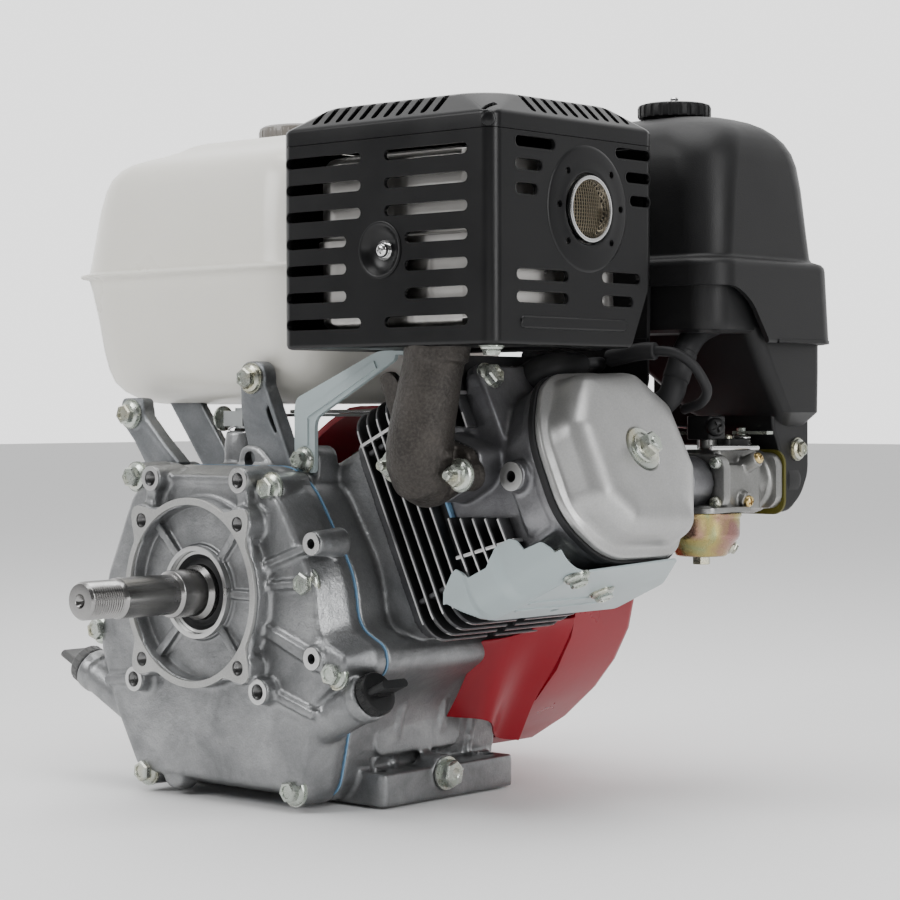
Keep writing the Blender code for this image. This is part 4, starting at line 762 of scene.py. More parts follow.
CASE_OUTLINE = [
    (-70, 6), (-94, 48), (-111, 92), (-103, 142), (-76, 199), (-50, 213), (50, 213),
    (70, 199), (103, 146), (107, 114), (129, 104), (131, 90), (101, 64), (88, 6),
]
COVER_BOLTS = [(-70, 205), (56, 200), (88, 142), (112, 88), (76, 13), (-60, 13), (-106, 103)]
EAR = 44.7
INNER_HOLES = [(EAR, EAR), (-EAR, EAR), (-EAR, -EAR), (EAR, -EAR)]
OUTER_BOSSES = [(40.8, 204.7), (-40.8, 204.7), (-57.8, 74.1), (57.8, 74.1)]
PLAIN_BOSSES = [(100, 167), (100, 97)]
NECK_D = 31.0
NECK_ROOT = (88.0, 55.0)
NECK_LENGTH = 46.0
GOVERNOR = (-26.0, 74.0)
BRACKET_D = 48.5
BRACKET_BOLT = (56.0, 217.0)
BOLT_SEAT = 19.5


def case_outline(amount=0.0):
    return offset_rounded(CASE_OUTLINE, amount, 14, 5)


def neck_point(hand, along):
    """A point on a filler neck's axis, in x, d, z; hand is 1 for the head side."""
    x = NECK_ROOT[0] + along * cos(LEAN)
    z = NECK_ROOT[1] + along * sin(LEAN)
    return hand * x, NECK_D, z


def radial_web(angle, inner, outer, width, low, high, fall=0.0):
    """A web standing on the cover, running outwards from the crank axis."""
    turn = radians(angle)

    def place(u, v, h):
        x = u * cos(turn) - v * sin(turn)
        z = CRANK_HEIGHT + u * sin(turn) + v * cos(turn)
        sink = fall * (u - inner) / (outer - inner)
        return front(x, z, h + sink)
    half = width / 2.0
    return prism(box_outline(inner, outer, -half, half), low, high, place)


def strut(start, end, width, low, high, place=front):
    """A straight rib between two points of a plane."""
    a = Vector(start)
    b = Vector(end)
    across = Vector((-(b - a).y, (b - a).x)).normalized() * width / 2.0
    outline = [a - across, b - across, b + across, a + across]
    return prism([(p.x, p.y) for p in outline], low, high, place)


def cover_casting():
    """The cast cover: its wall, pads, bosses, filler necks and webs."""
    outline = case_outline
    shapes = [loft([(outline(10), 15), (outline(7), 16.5), (outline(2), 31), (outline(0.5), 35),
                    (outline(0), 36.5), (outline(0), COVER_BACK)], front)]
    shapes.append(turned([(59.5, 3), (60.5, 30)], front, 0, CRANK_HEIGHT, 64))
    shapes.append(loft([(rounded(circle(76, 4, 0, CRANK_HEIGHT, pi / 4), 26, 6), 2),
                        (rounded(circle(77, 4, 0, CRANK_HEIGHT, pi / 4), 26, 6), 7)], front))
    for x, z in INNER_HOLES:
        shapes.append(turned([(11, 0.6), (12, 30)], front, x, CRANK_HEIGHT + z, 24))
    for x, z in OUTER_BOSSES:
        shapes.append(turned([(8.2, 5), (9.5, 30)], front, x, z, 24))
    for x, z in PLAIN_BOSSES:
        shapes.append(turned([(7.5, 10), (9.5, 36)], front, x, z, 24))
    for x, z in COVER_BOLTS:
        shapes.append(turned([(9.4, BOLT_SEAT), (10.2, COVER_BACK)], front, x, z, 24))
    for hand in (1, -1):
        shapes.append(tube_along([neck_point(hand, -10), neck_point(hand, NECK_LENGTH - 6)],
                                 [14, 13.2], 28))
        shapes.append(tube_along([neck_point(hand, NECK_LENGTH - 9),
                                  neck_point(hand, NECK_LENGTH - 0.4)], [14.5, 14.5], 28))
    for x, z in ((100, 167), (88, 142), (100, 97), (112, 88)):
        angle = atan2(z - CRANK_HEIGHT, x)
        shapes.append(strut((58 * cos(angle), CRANK_HEIGHT + 58 * sin(angle)), (x, z), 5.0,
                            12, 34))
    shapes.append(strut((56, 200), (88, 142), 6.0, 22, 36))
    shapes.append(strut((57.8, 74.1), (98, 62), 6.0, 12, 34))
    shapes.append(strut((-57.8, 74.1), (-96, 70), 6.0, 12, 34))
    shapes.append(strut((-40.8, 204.7), (40.8, 204.7), 5.0, 14, 34))
    for (x0, z0), (x1, z1) in (((EAR, 177.7), (40.8, 204.7)), ((EAR, 88.3), (57.8, 74.1))):
        for hand in (-1, 1):
            shapes.append(strut((hand * x0, z0), (hand * x1, z1), 9.0, 6, 30))
    shapes.append(turned([(10, 17), (12, 30)], front, -34, 14, 24))
    return shapes


SPOKE_ANGLES = (0, 48, 132, 180, 228, 312)


def cover_recess_details():
    """What stands in the ring round the shaft: spokes, a boss round the seal."""
    shapes = [ring(29.6, 56.5, 11.8, 20, front, 0, CRANK_HEIGHT, 64),
              loft([(circle(31.5, 48, 0, CRANK_HEIGHT), 15), (circle(30.2, 48, 0, CRANK_HEIGHT), 9.6),
                    ], front)]
    for angle in SPOKE_ANGLES:
        shapes.append(radial_web(angle, 28, 57, 5.6, 8.6, 16, fall=-2.0))
    return shapes


def crankcase_cover_piece():
    """The cover with its machined holes, threads and bright faces."""
    voxel = 1.15
    recess = turned([(55.6, -5), (54.8, 12.5)], front, 0, CRANK_HEIGHT, 64)
    thing = cast_piece("cover_casting", cover_casting(), ALU, voxel=voxel, rounds=5,
                       cut=[recess])
    cavity = prism(case_outline(7), 24, COVER_BACK + 5, front)
    middle = cast_piece("cover_spokes", cover_recess_details(), ALU, voxel=0.8, rounds=4)
    cut_away(middle, [seal_bore()])
    dress(middle, ALU, 50)
    holes = [drum(4.6, -5, 14, front, x, CRANK_HEIGHT + z, 28)
             for x, z in INNER_HOLES]
    holes += [drum(4.9, -5, 18, front, x, z, 28) for x, z in OUTER_BOSSES]
    holes += [drum(3.2, -5, 26, front, x, z, 24) for x, z in PLAIN_BOSSES]
    holes += [tube_along([neck_point(hand, along) for along in (NECK_LENGTH - 30,
                                                                NECK_LENGTH + 5)],
                         [9.4, 9.4], 28) for hand in (1, -1)]
    cut_away(thing, [together(*holes), seal_bore(), cavity])
    dress(thing, ALU, 50)
    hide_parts("crankcase_cover")
    drive_face()
    # painted shade in the tapped holes: dark thread walls and a black disc at each hole's end
    for i, (x, z) in enumerate(INNER_HOLES):
        threads("ear_thread_%d" % i, (x, 1.4, CRANK_HEIGHT + z), (0, 1, 0), 4.6, 11, 1.25,
                SHADED_THREAD_METAL)
        hole_shade_disc("ear_hole_shade_%d" % i, x, CRANK_HEIGHT + z, 4.8, 12.4)
    for i, (x, z) in enumerate(OUTER_BOSSES):
        machined_ring("boss_face_%d" % i, x, z, 5.0, 8.0, 4.4, 1.0)
        threads("boss_thread_%d" % i, (x, 5.4, z), (0, 1, 0), 4.9, 12, 1.5, SHADED_THREAD_METAL)
        hole_shade_disc("boss_hole_shade_%d" % i, x, z, 5.1, 17.0)
    for i, (x, z) in enumerate(PLAIN_BOSSES):
        machined_ring("plain_face_%d" % i, x, z, 3.2, 7.0, 9.4, 1.0)
    machined_ring("seal_boss_face", 0, CRANK_HEIGHT, 26.4, 29.4, 5.6, 5.0, steps=96)


def seal_bore():
    return drum(26.2, -5, 20, front, 0, CRANK_HEIGHT, 48)


def machined_ring(name, x, z, inner, outer, low, thick, steps=40):
    """A bright cut face on a casting."""
    shape = ring(inner, outer, low, low + thick, front, x, z, steps)
    return add(name, shape, ALU_EDGE, bevel=0.15)


def hole_shade_disc(name, x, z, radius, depth):
    """A black disc at the end of a tapped hole, as painted shade."""
    add(name, drum(radius, depth, depth + 1.0, front, x, z, 24), HOLE_SHADE_BLACK)


def drive_face():
    """The milled face: a ring whose rim swells into the four bolt ears."""
    ear_reach = 14.0
    ear_spread = 15.0
    points = []
    steps = 180
    for k in range(steps):
        angle = 360.0 * k / steps
        away = min(abs((angle - ear + 180.0) % 360.0 - 180.0) for ear in (45, 135, 225, 315))
        t = min(away / ear_spread, 1.0)
        swell = ear_reach * (1.0 - t * t * (3.0 - 2.0 * t))
        reach = 60.2 + swell
        points.append((reach * cos(radians(angle)), CRANK_HEIGHT + reach * sin(radians(angle))))
    plate = prism(points, 0.05, 2.6, front)
    holes = [drum(4.7, -4, 8, front, x, CRANK_HEIGHT + z, 28)
             for x, z in INNER_HOLES]
    middle = drum(55.8, -4, 8, front, 0, CRANK_HEIGHT, 128)
    thing = add("milled_drive_face", plate, SATIN_FACE, cut=[middle, together(*holes)],
                bevel=0.4, angle=40.0)
    skirt = prism([(a * 0.985, CRANK_HEIGHT + (b - CRANK_HEIGHT) * 0.985) for a, b in points],
                  2.4, 22, front)
    skirt_middle = drum(56.6, -4, 30, front, 0, CRANK_HEIGHT, 128)
    skirt_holes = [drum(4.7, -4, 16, front, x, CRANK_HEIGHT + z, 28)
                   for x, z in INNER_HOLES]
    skirt_thing = add("drive_face_wall", skirt, ALU, cut=[skirt_middle,
                                                          together(*skirt_holes)],
                      bevel=0.6, angle=40.0)


def output_shaft():
    """Crankshaft: threaded nose, ground shaft, step, webs, pin and rear taper."""
    z = CRANK_HEIGHT
    start = -SHAFT_LENGTH
    profile = [(1.5, start + 12), (1.6, start + 4.2), (4.2, start + 0.8), (4.5, start),
               (8.4, start), (10.6, start + 0.2), (11.7, start + 1.6)]
    pitch = 1.8
    for i in range(14):
        base = start + 2.0 + pitch * i
        profile += [(11.9, base), (11.9, base + 0.25), (10.7, base + pitch * 0.55)]
    profile += [(11.6, start + 28.0), (12.7, start + 29.0), (12.7, -17.0), (14.6, -15.6),
                (15.0, -14.8), (15.0, 4.0), (JOURNAL_R, 7.0), (JOURNAL_R, 88.0)]
    nose = turned(profile, front, 0, z, 96)
    rear = turned([(JOURNAL_R, 150), (JOURNAL_R, 192), (14, 193), (11.6, 227.8), (7.8, 228.2),
                   (7.8, 250)], front, 0, z, 40)
    pin = drum(18.0, 98, 144, front, bore_x(0, THROW), bore_z(0, THROW), 32)
    pin_side = [(THROW + 20 * cos(a), 20 * sin(a)) for a in
                (radians(t) for t in range(-75, 76, 15))]
    weight = [(52 * cos(a), 52 * sin(a)) for a in (radians(t) for t in range(115, 246, 10))]
    webs = [prism(pin_side + weight, low, low + 15, bore_side) for low in (88, 139)]
    thing = add("output_shaft", nose, STEEL, "crank", angle=30.0, replaces=["crankshaft"])
    inside = add("crank_throw", webs[0], STEEL, "crank", join=[webs[1], pin, rear],
                 angle=30.0, replaces=["crankshaft"])


def shaft_seal():
    z = CRANK_HEIGHT
    profile = [(26.0, 10.3), (25.4, 9.9), (23.6, 9.9), (22.8, 11.0), (21.5, 12.2),
               (20.2, 12.0), (19.0, 10.4), (17.9, 10.2), (17.7, 19.5), (26.0, 19.5)]
    add("seal_lip", lathe(profile, front, (0, z), 64), BLACK_RUBBER, angle=50.0,
        replaces=["oil_seal"])
    machined_ring("seal_can", 0, z, 24.2, 26.1, 9.5, 0.8, steps=64)


def crankcase_casting():
    """The case on its feet, with bosses, ribs and the governor tower."""
    shapes = [loft([(case_outline(), CASE_FRONT), (case_outline(), 70),
                    (case_outline(1.5), CASE_BACK)], front)]
    shapes.append(prism(rounded_box(70, 172, -78, 50, 12, 4), 72, 122, bore))
    shapes.append(prism(rounded(box_outline(-112, 112, 60, 185), 5, 3), 0.8, 12, top))
    for sign in (1, -1):
        foot = box_outline(min(sign * 80, sign * 113), max(sign * 80, sign * 113), 60, 185)
        shapes.append(prism(rounded(foot, 4, 3), 0.8, 21.5, top))
    for x, z in COVER_BOLTS:
        shapes.append(turned([(9.6, CASE_FRONT), (9.2, CASE_FRONT + 26)], front, x, z, 24))
    shapes.append(turned([(13, 200), (13, 226), (11.5, 235)], top, *GOVERNOR, 28))
    shapes.append(prism(rounded([(-8, 205), (-3, 226), (13, 226), (36, 205)], 7, 4), 48.5,
                        56, front))
    bolt_x, bolt_z = BRACKET_BOLT
    shapes.append(prism(rounded_box(bolt_x - 9, bolt_x + 9, 192, bolt_z + 9, 8.9, 6),
                        BRACKET_D + 4, 70, front))
    shapes.append(strut((96, 64), (84, 22), 6.0, 60, 64))
    for d in (88, 130, 160):
        shapes.append(strut((100, 64), (88, 10), 5.0, d, d + 5))
        shapes.append(strut((92, 22), (112, 14), 5.0, d, d + 5))
    shapes.append(drum(12, 96, 113.8, side, 116, 17, 28))
    shapes.append(prism(rounded_box(70, 150, 30, 60, 8, 4), 88, 97, side))
    return shapes


def tank_arm_shape(foot_left, foot_right, centre, tip_height):
    """Cast arm with a raised rim from the crankcase top to a fuel tank bolt."""
    outline = [(foot_left, 200), (foot_right, 200), (foot_right - 4, 212),
               (centre + 11.5, 246), (centre + 11.5, tip_height + 11),
               (centre - 11.5, tip_height + 11), (centre - 11.5, 246), (foot_left - 6, 212)]
    plate = prism(rounded(outline, 9, 5), 51, 60.5, front)
    boss = turned([(10.5, 50.4), (11.4, 62)], front, centre, tip_height, 28)
    ribs = [strut((foot_right - 5, 212), (centre + 9.5, tip_height - 4), 4.0, 50.6, 61.5),
            strut((foot_left + 1, 212), (centre - 9.5, tip_height - 4), 4.0, 50.6, 61.5)]
    back_outline = [(foot_left + 14, 200), (foot_right + 14, 200), (centre + 20, 258),
                    (centre - 12, 258)]
    back = prism(rounded(back_outline, 5, 4), 92, 98, front)
    return [plate, boss, *ribs, back] if centre < 0 else [plate, boss, *ribs]


def crankcase_piece():
    """The case with its holes cut, and the two cast tank arms."""
    feet_holes = together(*[
        drum(5.5, -5, 30, top, sx * FOOT_SPAN_X / 2, FOOT_DEPTH + sd * FOOT_SPAN_D / 2,
               28) for sx in (-1, 1) for sd in (-1, 1)])
    cavity = prism(case_outline(7), CASE_FRONT - 5, CASE_BACK - 9, front)
    barrel_hole = drum(BORE_HOLE_R, 50, 130, bore, CYLINDER_D, 0, 48)
    eye_hole = drum(5, 40, 70, front, 6, 217, 28)
    under = prism(box_outline(-70, 70, 70, 175), -5, 4, top)
    shapes = crankcase_casting()
    thing = cast_piece("crankcase_casting", shapes, ALU, voxel=1.4, rounds=5,
                       late_cut=[cavity, barrel_hole, feet_holes, eye_hole, under])
    arms = cast_piece("tank_arms", tank_arm_shape(12, 46, 6.5, 269)
                      + tank_arm_shape(-92, -60, -111, 246), ARM_ALU, voxel=0.9, rounds=4)
    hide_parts("crankcase")


def gasket_line():
    shape = prism(case_outline(-0.15), COVER_BACK + 0.15, CASE_FRONT - 0.15, front)
    thing = add("case_gasket_sheet", shape, GASKET_BLUE,
                cut=[prism(case_outline(7), COVER_BACK - 3, CASE_FRONT + 3, front)],
                replaces=["crankcase_gasket"])


def cover_bolts():
    for i, (x, z) in enumerate(COVER_BOLTS):
        hex_bolt("cover_bolt_%d" % i, (x, BOLT_SEAT - 0.9, z), FORWARDS, M8_HEAD,
                 spin=0.3 * i)
        shape = turned([(9.0, BOLT_SEAT - 0.8), (9.4, BOLT_SEAT + 0.6)], front, x, z, 36)
        add("bolt_seat_%d" % i, shape, ALU)
    hex_bolt("arm_bolt_right", (6.5, 49.0, 269), FORWARDS, M8_HEAD, spin=0.5)
    hex_bolt("arm_bolt_left", (-111, 49.0, 246), FORWARDS, M8_HEAD, spin=0.2)
    hex_bolt("bracket_bolt", (BRACKET_BOLT[0], BRACKET_D - 1.2, BRACKET_BOLT[1]), FORWARDS,
             M6_HEAD, spin=0.9)


def drain_bolt_piece():
    place = direction_place((114.3, 116, 17), (1, 0, 0), 0.3)
    washer = turned([(10.8, 0.0), (11.0, 0.5), (10.8, 1.9)], place, steps=40)
    head = loft([(circle(9.0, 6), 1.7), (circle(9.0, 6), 7.6), (circle(7.8, 6), 8.6)], place)
    shank = drum(6.0, -14, 0.5, place, steps=28)
    dish = turned([(3.0, 8.0), (4.2, 9.2)], place, steps=24)
    thing = add("drain_plug", washer, BOLT_ZINC, "drain", join=[head, shank], cut=[dish],
                bevel=0.3, replaces=["drain_bolt"], angle=25.0)


def filler_caps():
    for hand, node, body in ((1, "oil_filler_cap_right", "oil_cap_right"),
                             (-1, "oil_filler_cap_left", "oil_cap_left")):
        axis = Vector((hand * cos(LEAN), 0, sin(LEAN)))
        place = direction_place(neck_point(hand, NECK_LENGTH), axis)
        stem = drum(8.4, -22, 1.0, place, steps=32)
        rim = turned([(13.0, 0.6), (13.6, 1.4), (13.6, 6.2), (12.6, 7.6), (9.0, 8.2)], place,
                     steps=48)
        grip = [prism(rounded_box(-11, 11, -2.6, 2.6, 2.4, 5), 7.0, 22, place),
                prism(rounded_box(-8, 8, -3.6, 3.6, 2.8, 5), 6.0, 12, place)]
        rim_cuts = notches(18, 14.2, 1.2, 0, 9, place)
        parts = [rim, *grip]
        if hand < 0:
            parts.append(drum(2.4, -52, -20, place, steps=12))
        look = BLACK_PLASTIC if hand > 0 else PLASTIC_GREY
        thing = add(node + "_moulded", stem, look, body, join=parts, cut=[rim_cuts],
                    bevel=0.5, replaces=[node])
        seal = ring(8.6, 11.0, -0.4, 1.0, place, 0, 0, 36)
        add(node + "_o_ring", seal, BLACK_RUBBER, body)


crankcase_cover_piece()
output_shaft()
shaft_seal()
crankcase_piece()
gasket_line()
cover_bolts()
drain_bolt_piece()
filler_caps()


# ---------------------------------------------------------------- cylinder and head

ROCKER_OUTLINE = [(90, 32), (152, 34), (182, 6), (184, -44), (158, -90), (88, -88),
                  (62, -60), (64, -6)]
COVER_LOW = 250.4
COVER_TOP = 283.0
CHAMBER = 12.0
VALVE_SPREAD = 19.0
PUSHROD_V = -45.0
PORT = (191.0, -1.0)
PORT_STUDS = ((214, -15), (168, 12))
FIN_PITCH = 9.0
CARB_AXIS = (238.0, 202.0)
CARB_D = (213.0, 287.0)


def rocker_outline(amount=0.0, radius=18):
    return offset_rounded(ROCKER_OUTLINE, amount, radius, 8)


def fin_edges(thing):
    """The outermost narrow rim of a fin is left bright by the trimming tool."""
    axis = Vector(ALONG_BORE)
    second_look(thing, FIN_EDGE, lambda centre, normal: abs(normal.dot(axis)) < 0.35
                and (centre.y < (60.9 - FOOT_DEPTH) * MM or normal.dot(axis) ** 2 < 0.02
                     and abs(normal.y) < 0.5))


def fin_plate(outline, s):
    """One cooling fin with a rounded rim, standing across the bore at s."""
    narrow = inset(outline, 0.7)
    return loft([(narrow, s + 0.1), (outline, s + 0.7), (outline, s + 1.9), (narrow, s + 2.5)],
                bore)


def barrel_fins():
    for i in range(5):
        s = 124.0 + FIN_PITCH * i
        fin = fin_plate(rounded_box(60, 183, -88, 66, 16, 6), s)
        notch = prism(box_outline(114, 122, -92, -78), s - 3, s + 6, bore)
        thing = add("barrel_fin_%d" % i, fin, ALU_FINS, cut=[notch], angle=30.0)
        fin_edges(thing)
    ribs = [strut((120, v), (166, v), 4.0, 62, 74, bore_side) for v in (-62, 38)]
    ribs += [strut((120, -76), (166, -76), 9.0, 100, 118, bore_side)]
    barrel = cast_piece("barrel", [prism(rounded_box(68, 174, -82, 53, 12, 4), 112, 169, bore),
                                   *ribs], ALU_FINS, voxel=1.6, rounds=4,
                        late_cut=[drum(BORE_HOLE_R, 90, 180, bore, CYLINDER_D, 0, 48)])


def head_fin_outline():
    """Head fin with a corner cut away beside the exhaust flange."""
    return rounded([(62, 66), (152, 66), (183, 40), (183, -70), (166, -88), (60, -88),
                    (58, -40), (60, 20)], 8, 5)


def head_piece():
    """The cylinder head: body, rocker box, ports, fins and two of its bolts."""
    body = prism(rounded_box(68, 176, -84, 52, 12, 4), DECK + 1.2, 226, bore)
    box = prism(rocker_outline(1.5), 221, HEAD_TOP - 2, bore)
    rim = loft([(rocker_outline(1.5), HEAD_TOP - 8), (rocker_outline(0.2), HEAD_TOP - 5),
                (rocker_outline(0.2), HEAD_TOP)], bore)
    port_boss = prism(rounded([(158, 4), (172, 20), (199, 20), (225, -5), (212, -20),
                               (182, -21)], 8, 5), 46.4, 80, bore_side)
    lug = turned([(9, 57), (10, 80)], bore_side, 231, -24, 28)
    side_lug = turned([(8, 58), (9, 80)], bore_side, 182, 46, 28)
    runs = [tube_along([(186, 160, 217), (198, 180, 213), (212, 193, 208),
                        (CARB_AXIS[0] - 4, 198.3, CARB_AXIS[1] + 1)], [17, 17, 15, 14], 28),
            turned([(17, 190), (17, CARB_D[0] - 0.5)], front, *CARB_AXIS, 36),
            drum(13, 170, 205, bore, CYLINDER_D, PLUG_V, 28)]
    ribs = [strut((206, -66), (240, -62), 3.5, 66, 72, bore_side)]
    bolts = [drum(11, 214, 224, bore, d, v, 28)
             for d, v in ((78, 44), (78, -76), (164, 44), (164, -76))]
    holes = [drum(13, 40, 100, bore_side, *PORT, 36),
             drum(3.4, 50, 72, bore_side, 231, -24, 24),
             drum(11, 190, 260, bore, CYLINDER_D, PLUG_V, 28),
             drum(7.2, 176, 195, bore, CYLINDER_D, PLUG_V, 28),
             prism(rocker_outline(6), 231, HEAD_TOP + 5, bore),
             drum(42, DECK - 5, DECK + CHAMBER, bore, CYLINDER_D, 0, 40),
             turned([(12.5, 200), (12.5, CARB_D[0] + 5)], front, *CARB_AXIS, 32)]
    holes += [drum(9, 160, 240, bore, CYLINDER_D + sign * VALVE_SPREAD, PUSHROD_V,
                     20) for sign in (-1, 1)]
    thing = cast_piece("head_casting", [body, box, rim, port_boss, lug, side_lug, *runs, *ribs,
                                        *bolts], HEAD_ALU, voxel=1.4, rounds=4,
                       late_cut=holes)
    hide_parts("cylinder_head")
    second_look(thing, ALU_EDGE, lambda centre, normal: normal.y < -0.98
                and centre.y < (46.8 - FOOT_DEPTH) * MM)
    for i in range(5):
        s = 172.0 + FIN_PITCH * i
        fin = fin_plate(head_fin_outline(), s)
        ring_cut = drum(14, s - 4, s + 7, bore, CYLINDER_D, PLUG_V, 28)
        chamber = drum(46, s - 4, s + 7, bore, CYLINDER_D, 0, 48)
        step = 4.0 * i
        port_gap = prism(box_outline(50, 69, -26 - step, 34 - step), s - 3, s + 6, bore)
        fin_thing = add("head_fin_%d" % i, fin, ALU_FINS, cut=[ring_cut, port_gap, chamber],
                        angle=30.0)
        fin_edges(fin_thing)
    for i, (d, v) in enumerate(((78, 44), (78, -76))):
        x, z = bore_x(v, 224), bore_z(v, 224)
        hex_bolt("head_bolt_%d" % i, (x, d, z), ALONG_BORE, M8_HEAD, spin=0.4 * i)
    machined_side("lug_face", 231, -24, 3.5, 8.6, 56.2)


def machined_side(name, s, v, inner, outer, low):
    shape = ring(inner, outer, low, low + 1.2, bore_side, s, v, 36)
    return add(name, shape, ALU_EDGE, bevel=0.15)


def head_gasket_line():
    shape = prism(rounded_box(66, 178, -86, 56, 12, 4), DECK - 0.2, DECK + 1.4, bore)
    hole = drum(45, 150, 190, bore, CYLINDER_D, 0, 48)
    thing = add("head_gasket_sheet", shape, GASKET_BLUE, cut=[hole])


def rocker_cover_piece():
    """The pressed cover with its seal and the sealed centre bolt."""
    low = COVER_LOW
    top_s = COVER_TOP
    levels = [(0.6, low, 18), (0, low + 0.8, 18), (0, low + 3.8, 18), (0.8, low + 5.0, 18),
              (2.8, low + 6.0, 17), (4.8, low + 7.2, 17), (6.0, low + 9, 16),
              (6.6, low + 12, 16), (7.6, top_s - 14, 16), (8.8, top_s - 11, 16),
              (10.6, top_s - 8.2, 16), (12.8, top_s - 5.8, 16), (15.6, top_s - 3.8, 16),
              (19.0, top_s - 2.4, 15), (23.0, top_s - 1.6, 14), (28.0, top_s - 1.1, 12),
              (34.0, top_s - 1.0, 8)]
    outer = loft([(rocker_outline(step, radius), height) for step, height, radius in levels],
                 bore)
    inner = loft([(rocker_outline(2.2), low - 4), (rocker_outline(9, 14), low + 8),
                  (rocker_outline(11, 13), top_s - 13), (rocker_outline(18, 12), top_s - 7.4),
                  (rocker_outline(32, 8), top_s - 4.4)], bore)
    bolt_hole = drum(4.4, 240, 300, bore, CYLINDER_D, PIVOT_V, 28)
    dimple = turned([(13.5, top_s - 2.4), (17.5, top_s + 2)], bore, CYLINDER_D, PIVOT_V, 64)
    thing = add("rocker_cover_pressing", outer, COVER_SILVER, cut=[inner, bolt_hole, dimple],
                bevel=0.7, segments=3, angle=24.0, replaces=["rocker_cover"])
    thing.data.set_sharp_from_angle(angle=radians(75.0))
    seal = prism(rocker_outline(-1.6), HEAD_TOP - 0.8, HEAD_TOP + 3.6, bore)
    seal_cut = prism(rocker_outline(6), HEAD_TOP - 1, HEAD_TOP + 5, bore)
    seal_thing = add("cover_seal", seal, BLACK_RUBBER, cut=[seal_cut], bevel=0.8,
                     replaces=["rocker_cover_gasket"])
    seat = top_s - 2.3
    centre = (bore_x(PIVOT_V, seat), CYLINDER_D, bore_z(PIVOT_V, seat))
    place = direction_place(centre, ALONG_BORE)
    washer = turned([(13.2, 0.0), (13.4, 0.6), (13.2, 2.0), (9.6, 2.4)], place, steps=48)
    rubber = drum(13.0, -0.4, 0.4, place, steps=48)
    add("cover_bolt_rubber", rubber, BLACK_RUBBER)
    shank = drum(4.0, -45, 1.0, place, steps=24)
    washer_thing = add("cover_bolt_washer", washer, BOLT_ZINC, join=[shank], bevel=0.2,
                       replaces=["rocker_cover_bolt"])
    up = tuple(centre[i] + ALONG_BORE[i] * 2.2 for i in range(3))
    hex_bolt("cover_bolt_head", up, ALONG_BORE, 13.0, washer=False, spin=0.3, tall=9.0,
             stud=1.2)


def manifold_piece():
    """The cast iron bend from the exhaust port up into the muffler."""
    s, v = PORT
    x, z = bore_x(v, s), bore_z(v, s)
    points = [(x, 41, z - 4), (x + 0.4, 34, z - 4.2), (x + 1.2, 28.5, z - 2), (x + 2.4, 24.5, z + 4),
              (x + 4.2, 22.5, z + 13), (x + 7, 22, z + 26), (x + 12, 23, z + 50),
              (x + 17, 25, 291)]
    radii = [18, 19, 19.6, 20, 20, 19.4, 18.4, 17.6]
    bend = tube_along(points, radii, 36)
    flange_outline = rounded([(s - 34, v + 4), (s - 20, v + 20), (s + 8, v + 20),
                              (s + 34, v - 4), (s + 20, v - 20), (s - 8, v - 20)], 8, 5)
    flange = prism(flange_outline, 36.4, 45.4, bore_side)
    bosses = [turned([(9.5, 33), (10, 45.4)], bore_side, a, b, 28)
              for a, b in PORT_STUDS]
    web = prism(rounded([(s - 6, v + 2), (s + 30, v - 6), (s + 22, v + 22), (s + 8, v + 62),
                         (s - 2, v + 62)], 6, 4), 21, 27, bore_side)
    collar = tube_along([(x + 15.6, 24.6, 278), (x + 17, 25, 290)], [19.4, 19.8], 36)
    thing = cast_piece("manifold_casting", [bend, flange, web, collar, *bosses], IRON, voxel=1.1,
                       rounds=4, roughen=0.22,
                       late_cut=[drum(13, 38, 60, bore_side, s, v, 32),
                                 tube_along([(x + 12, 23, 240), (x + 17, 25, 296)],
                                            [13.6, 13.6], 28)])
    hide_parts("exhaust_manifold")
    for i, (a, b) in enumerate(PORT_STUDS):
        hex_bolt("manifold_nut_%d" % i, (bore_x(b, a), 32.8, bore_z(b, a)), FORWARDS, M8_HEAD,
                 spin=0.5, stud=5.5)


def strap_and_shroud():
    outline = [(47, 213.8), (53, 212), (65, 207), (65, 243), (134, 279), (134, 284.6),
               (120, 284.6), (49, 256), (47, 250)]
    strap = prism(rounded(outline, 6, 5), BRACKET_D, BRACKET_D + 3, front)
    lip = prism(rounded_box(122, 142, BRACKET_D, BRACKET_D + 22, 3, 3), 282.0, 284.4, top)
    bead = strut((57, 226), (57, 243), 5.0, BRACKET_D - 1.1, BRACKET_D + 1)
    bead_two = strut((58, 246), (118, 276), 5.0, BRACKET_D - 1.1, BRACKET_D + 1)
    thing = add("muffler_strap", strap, PALE_BLUE, join=[lip, bead, bead_two],
                cut=[drum(4.2, 40, 60, front, *BRACKET_BOLT, 24)], bevel=0.8,
                replaces=["muffler_bracket"], segments=3)


def fin_ties():
    """Thin bright ribs that tie the fins' front edges together."""
    places = (((168, -50), (215, -58), 59.2, 68), ((168, 52), (212, 40), 59.2, 68),
              ((124, 44), (163, 44), 59.6, 64))
    for i, (start, end, low, high) in enumerate(places):
        thing = add("fin_tie_%d" % i, strut(start, end, 2.2, low, high, bore_side),
                    FIN_EDGE, bevel=0.4)


head_piece()
fin_ties()
barrel_fins()
head_gasket_line()
rocker_cover_piece()
manifold_piece()
strap_and_shroud()


# ---------------------------------------------------------------- muffler and its shield

SHIELD_X = (80.0, 250.0)
SHIELD_D = (4.0, 158.0)
SHIELD_Z = (285.0, 408.0)
SHEET = 1.4
OUTLET = (91.0, 366.5)
SLOT_TOP_Z = 397.5
SLOT_PITCH = 16.3
SLOT_WIDTH = 6.6
LID_SLOT = 4.5
LID_PITCH = 9.8
DISH = (163.7, 342.2)
OUTLET_SCREWS = [(72, 388), (113, 388), (122, 368), (113, 347.5), (72, 347), (64, 368)]


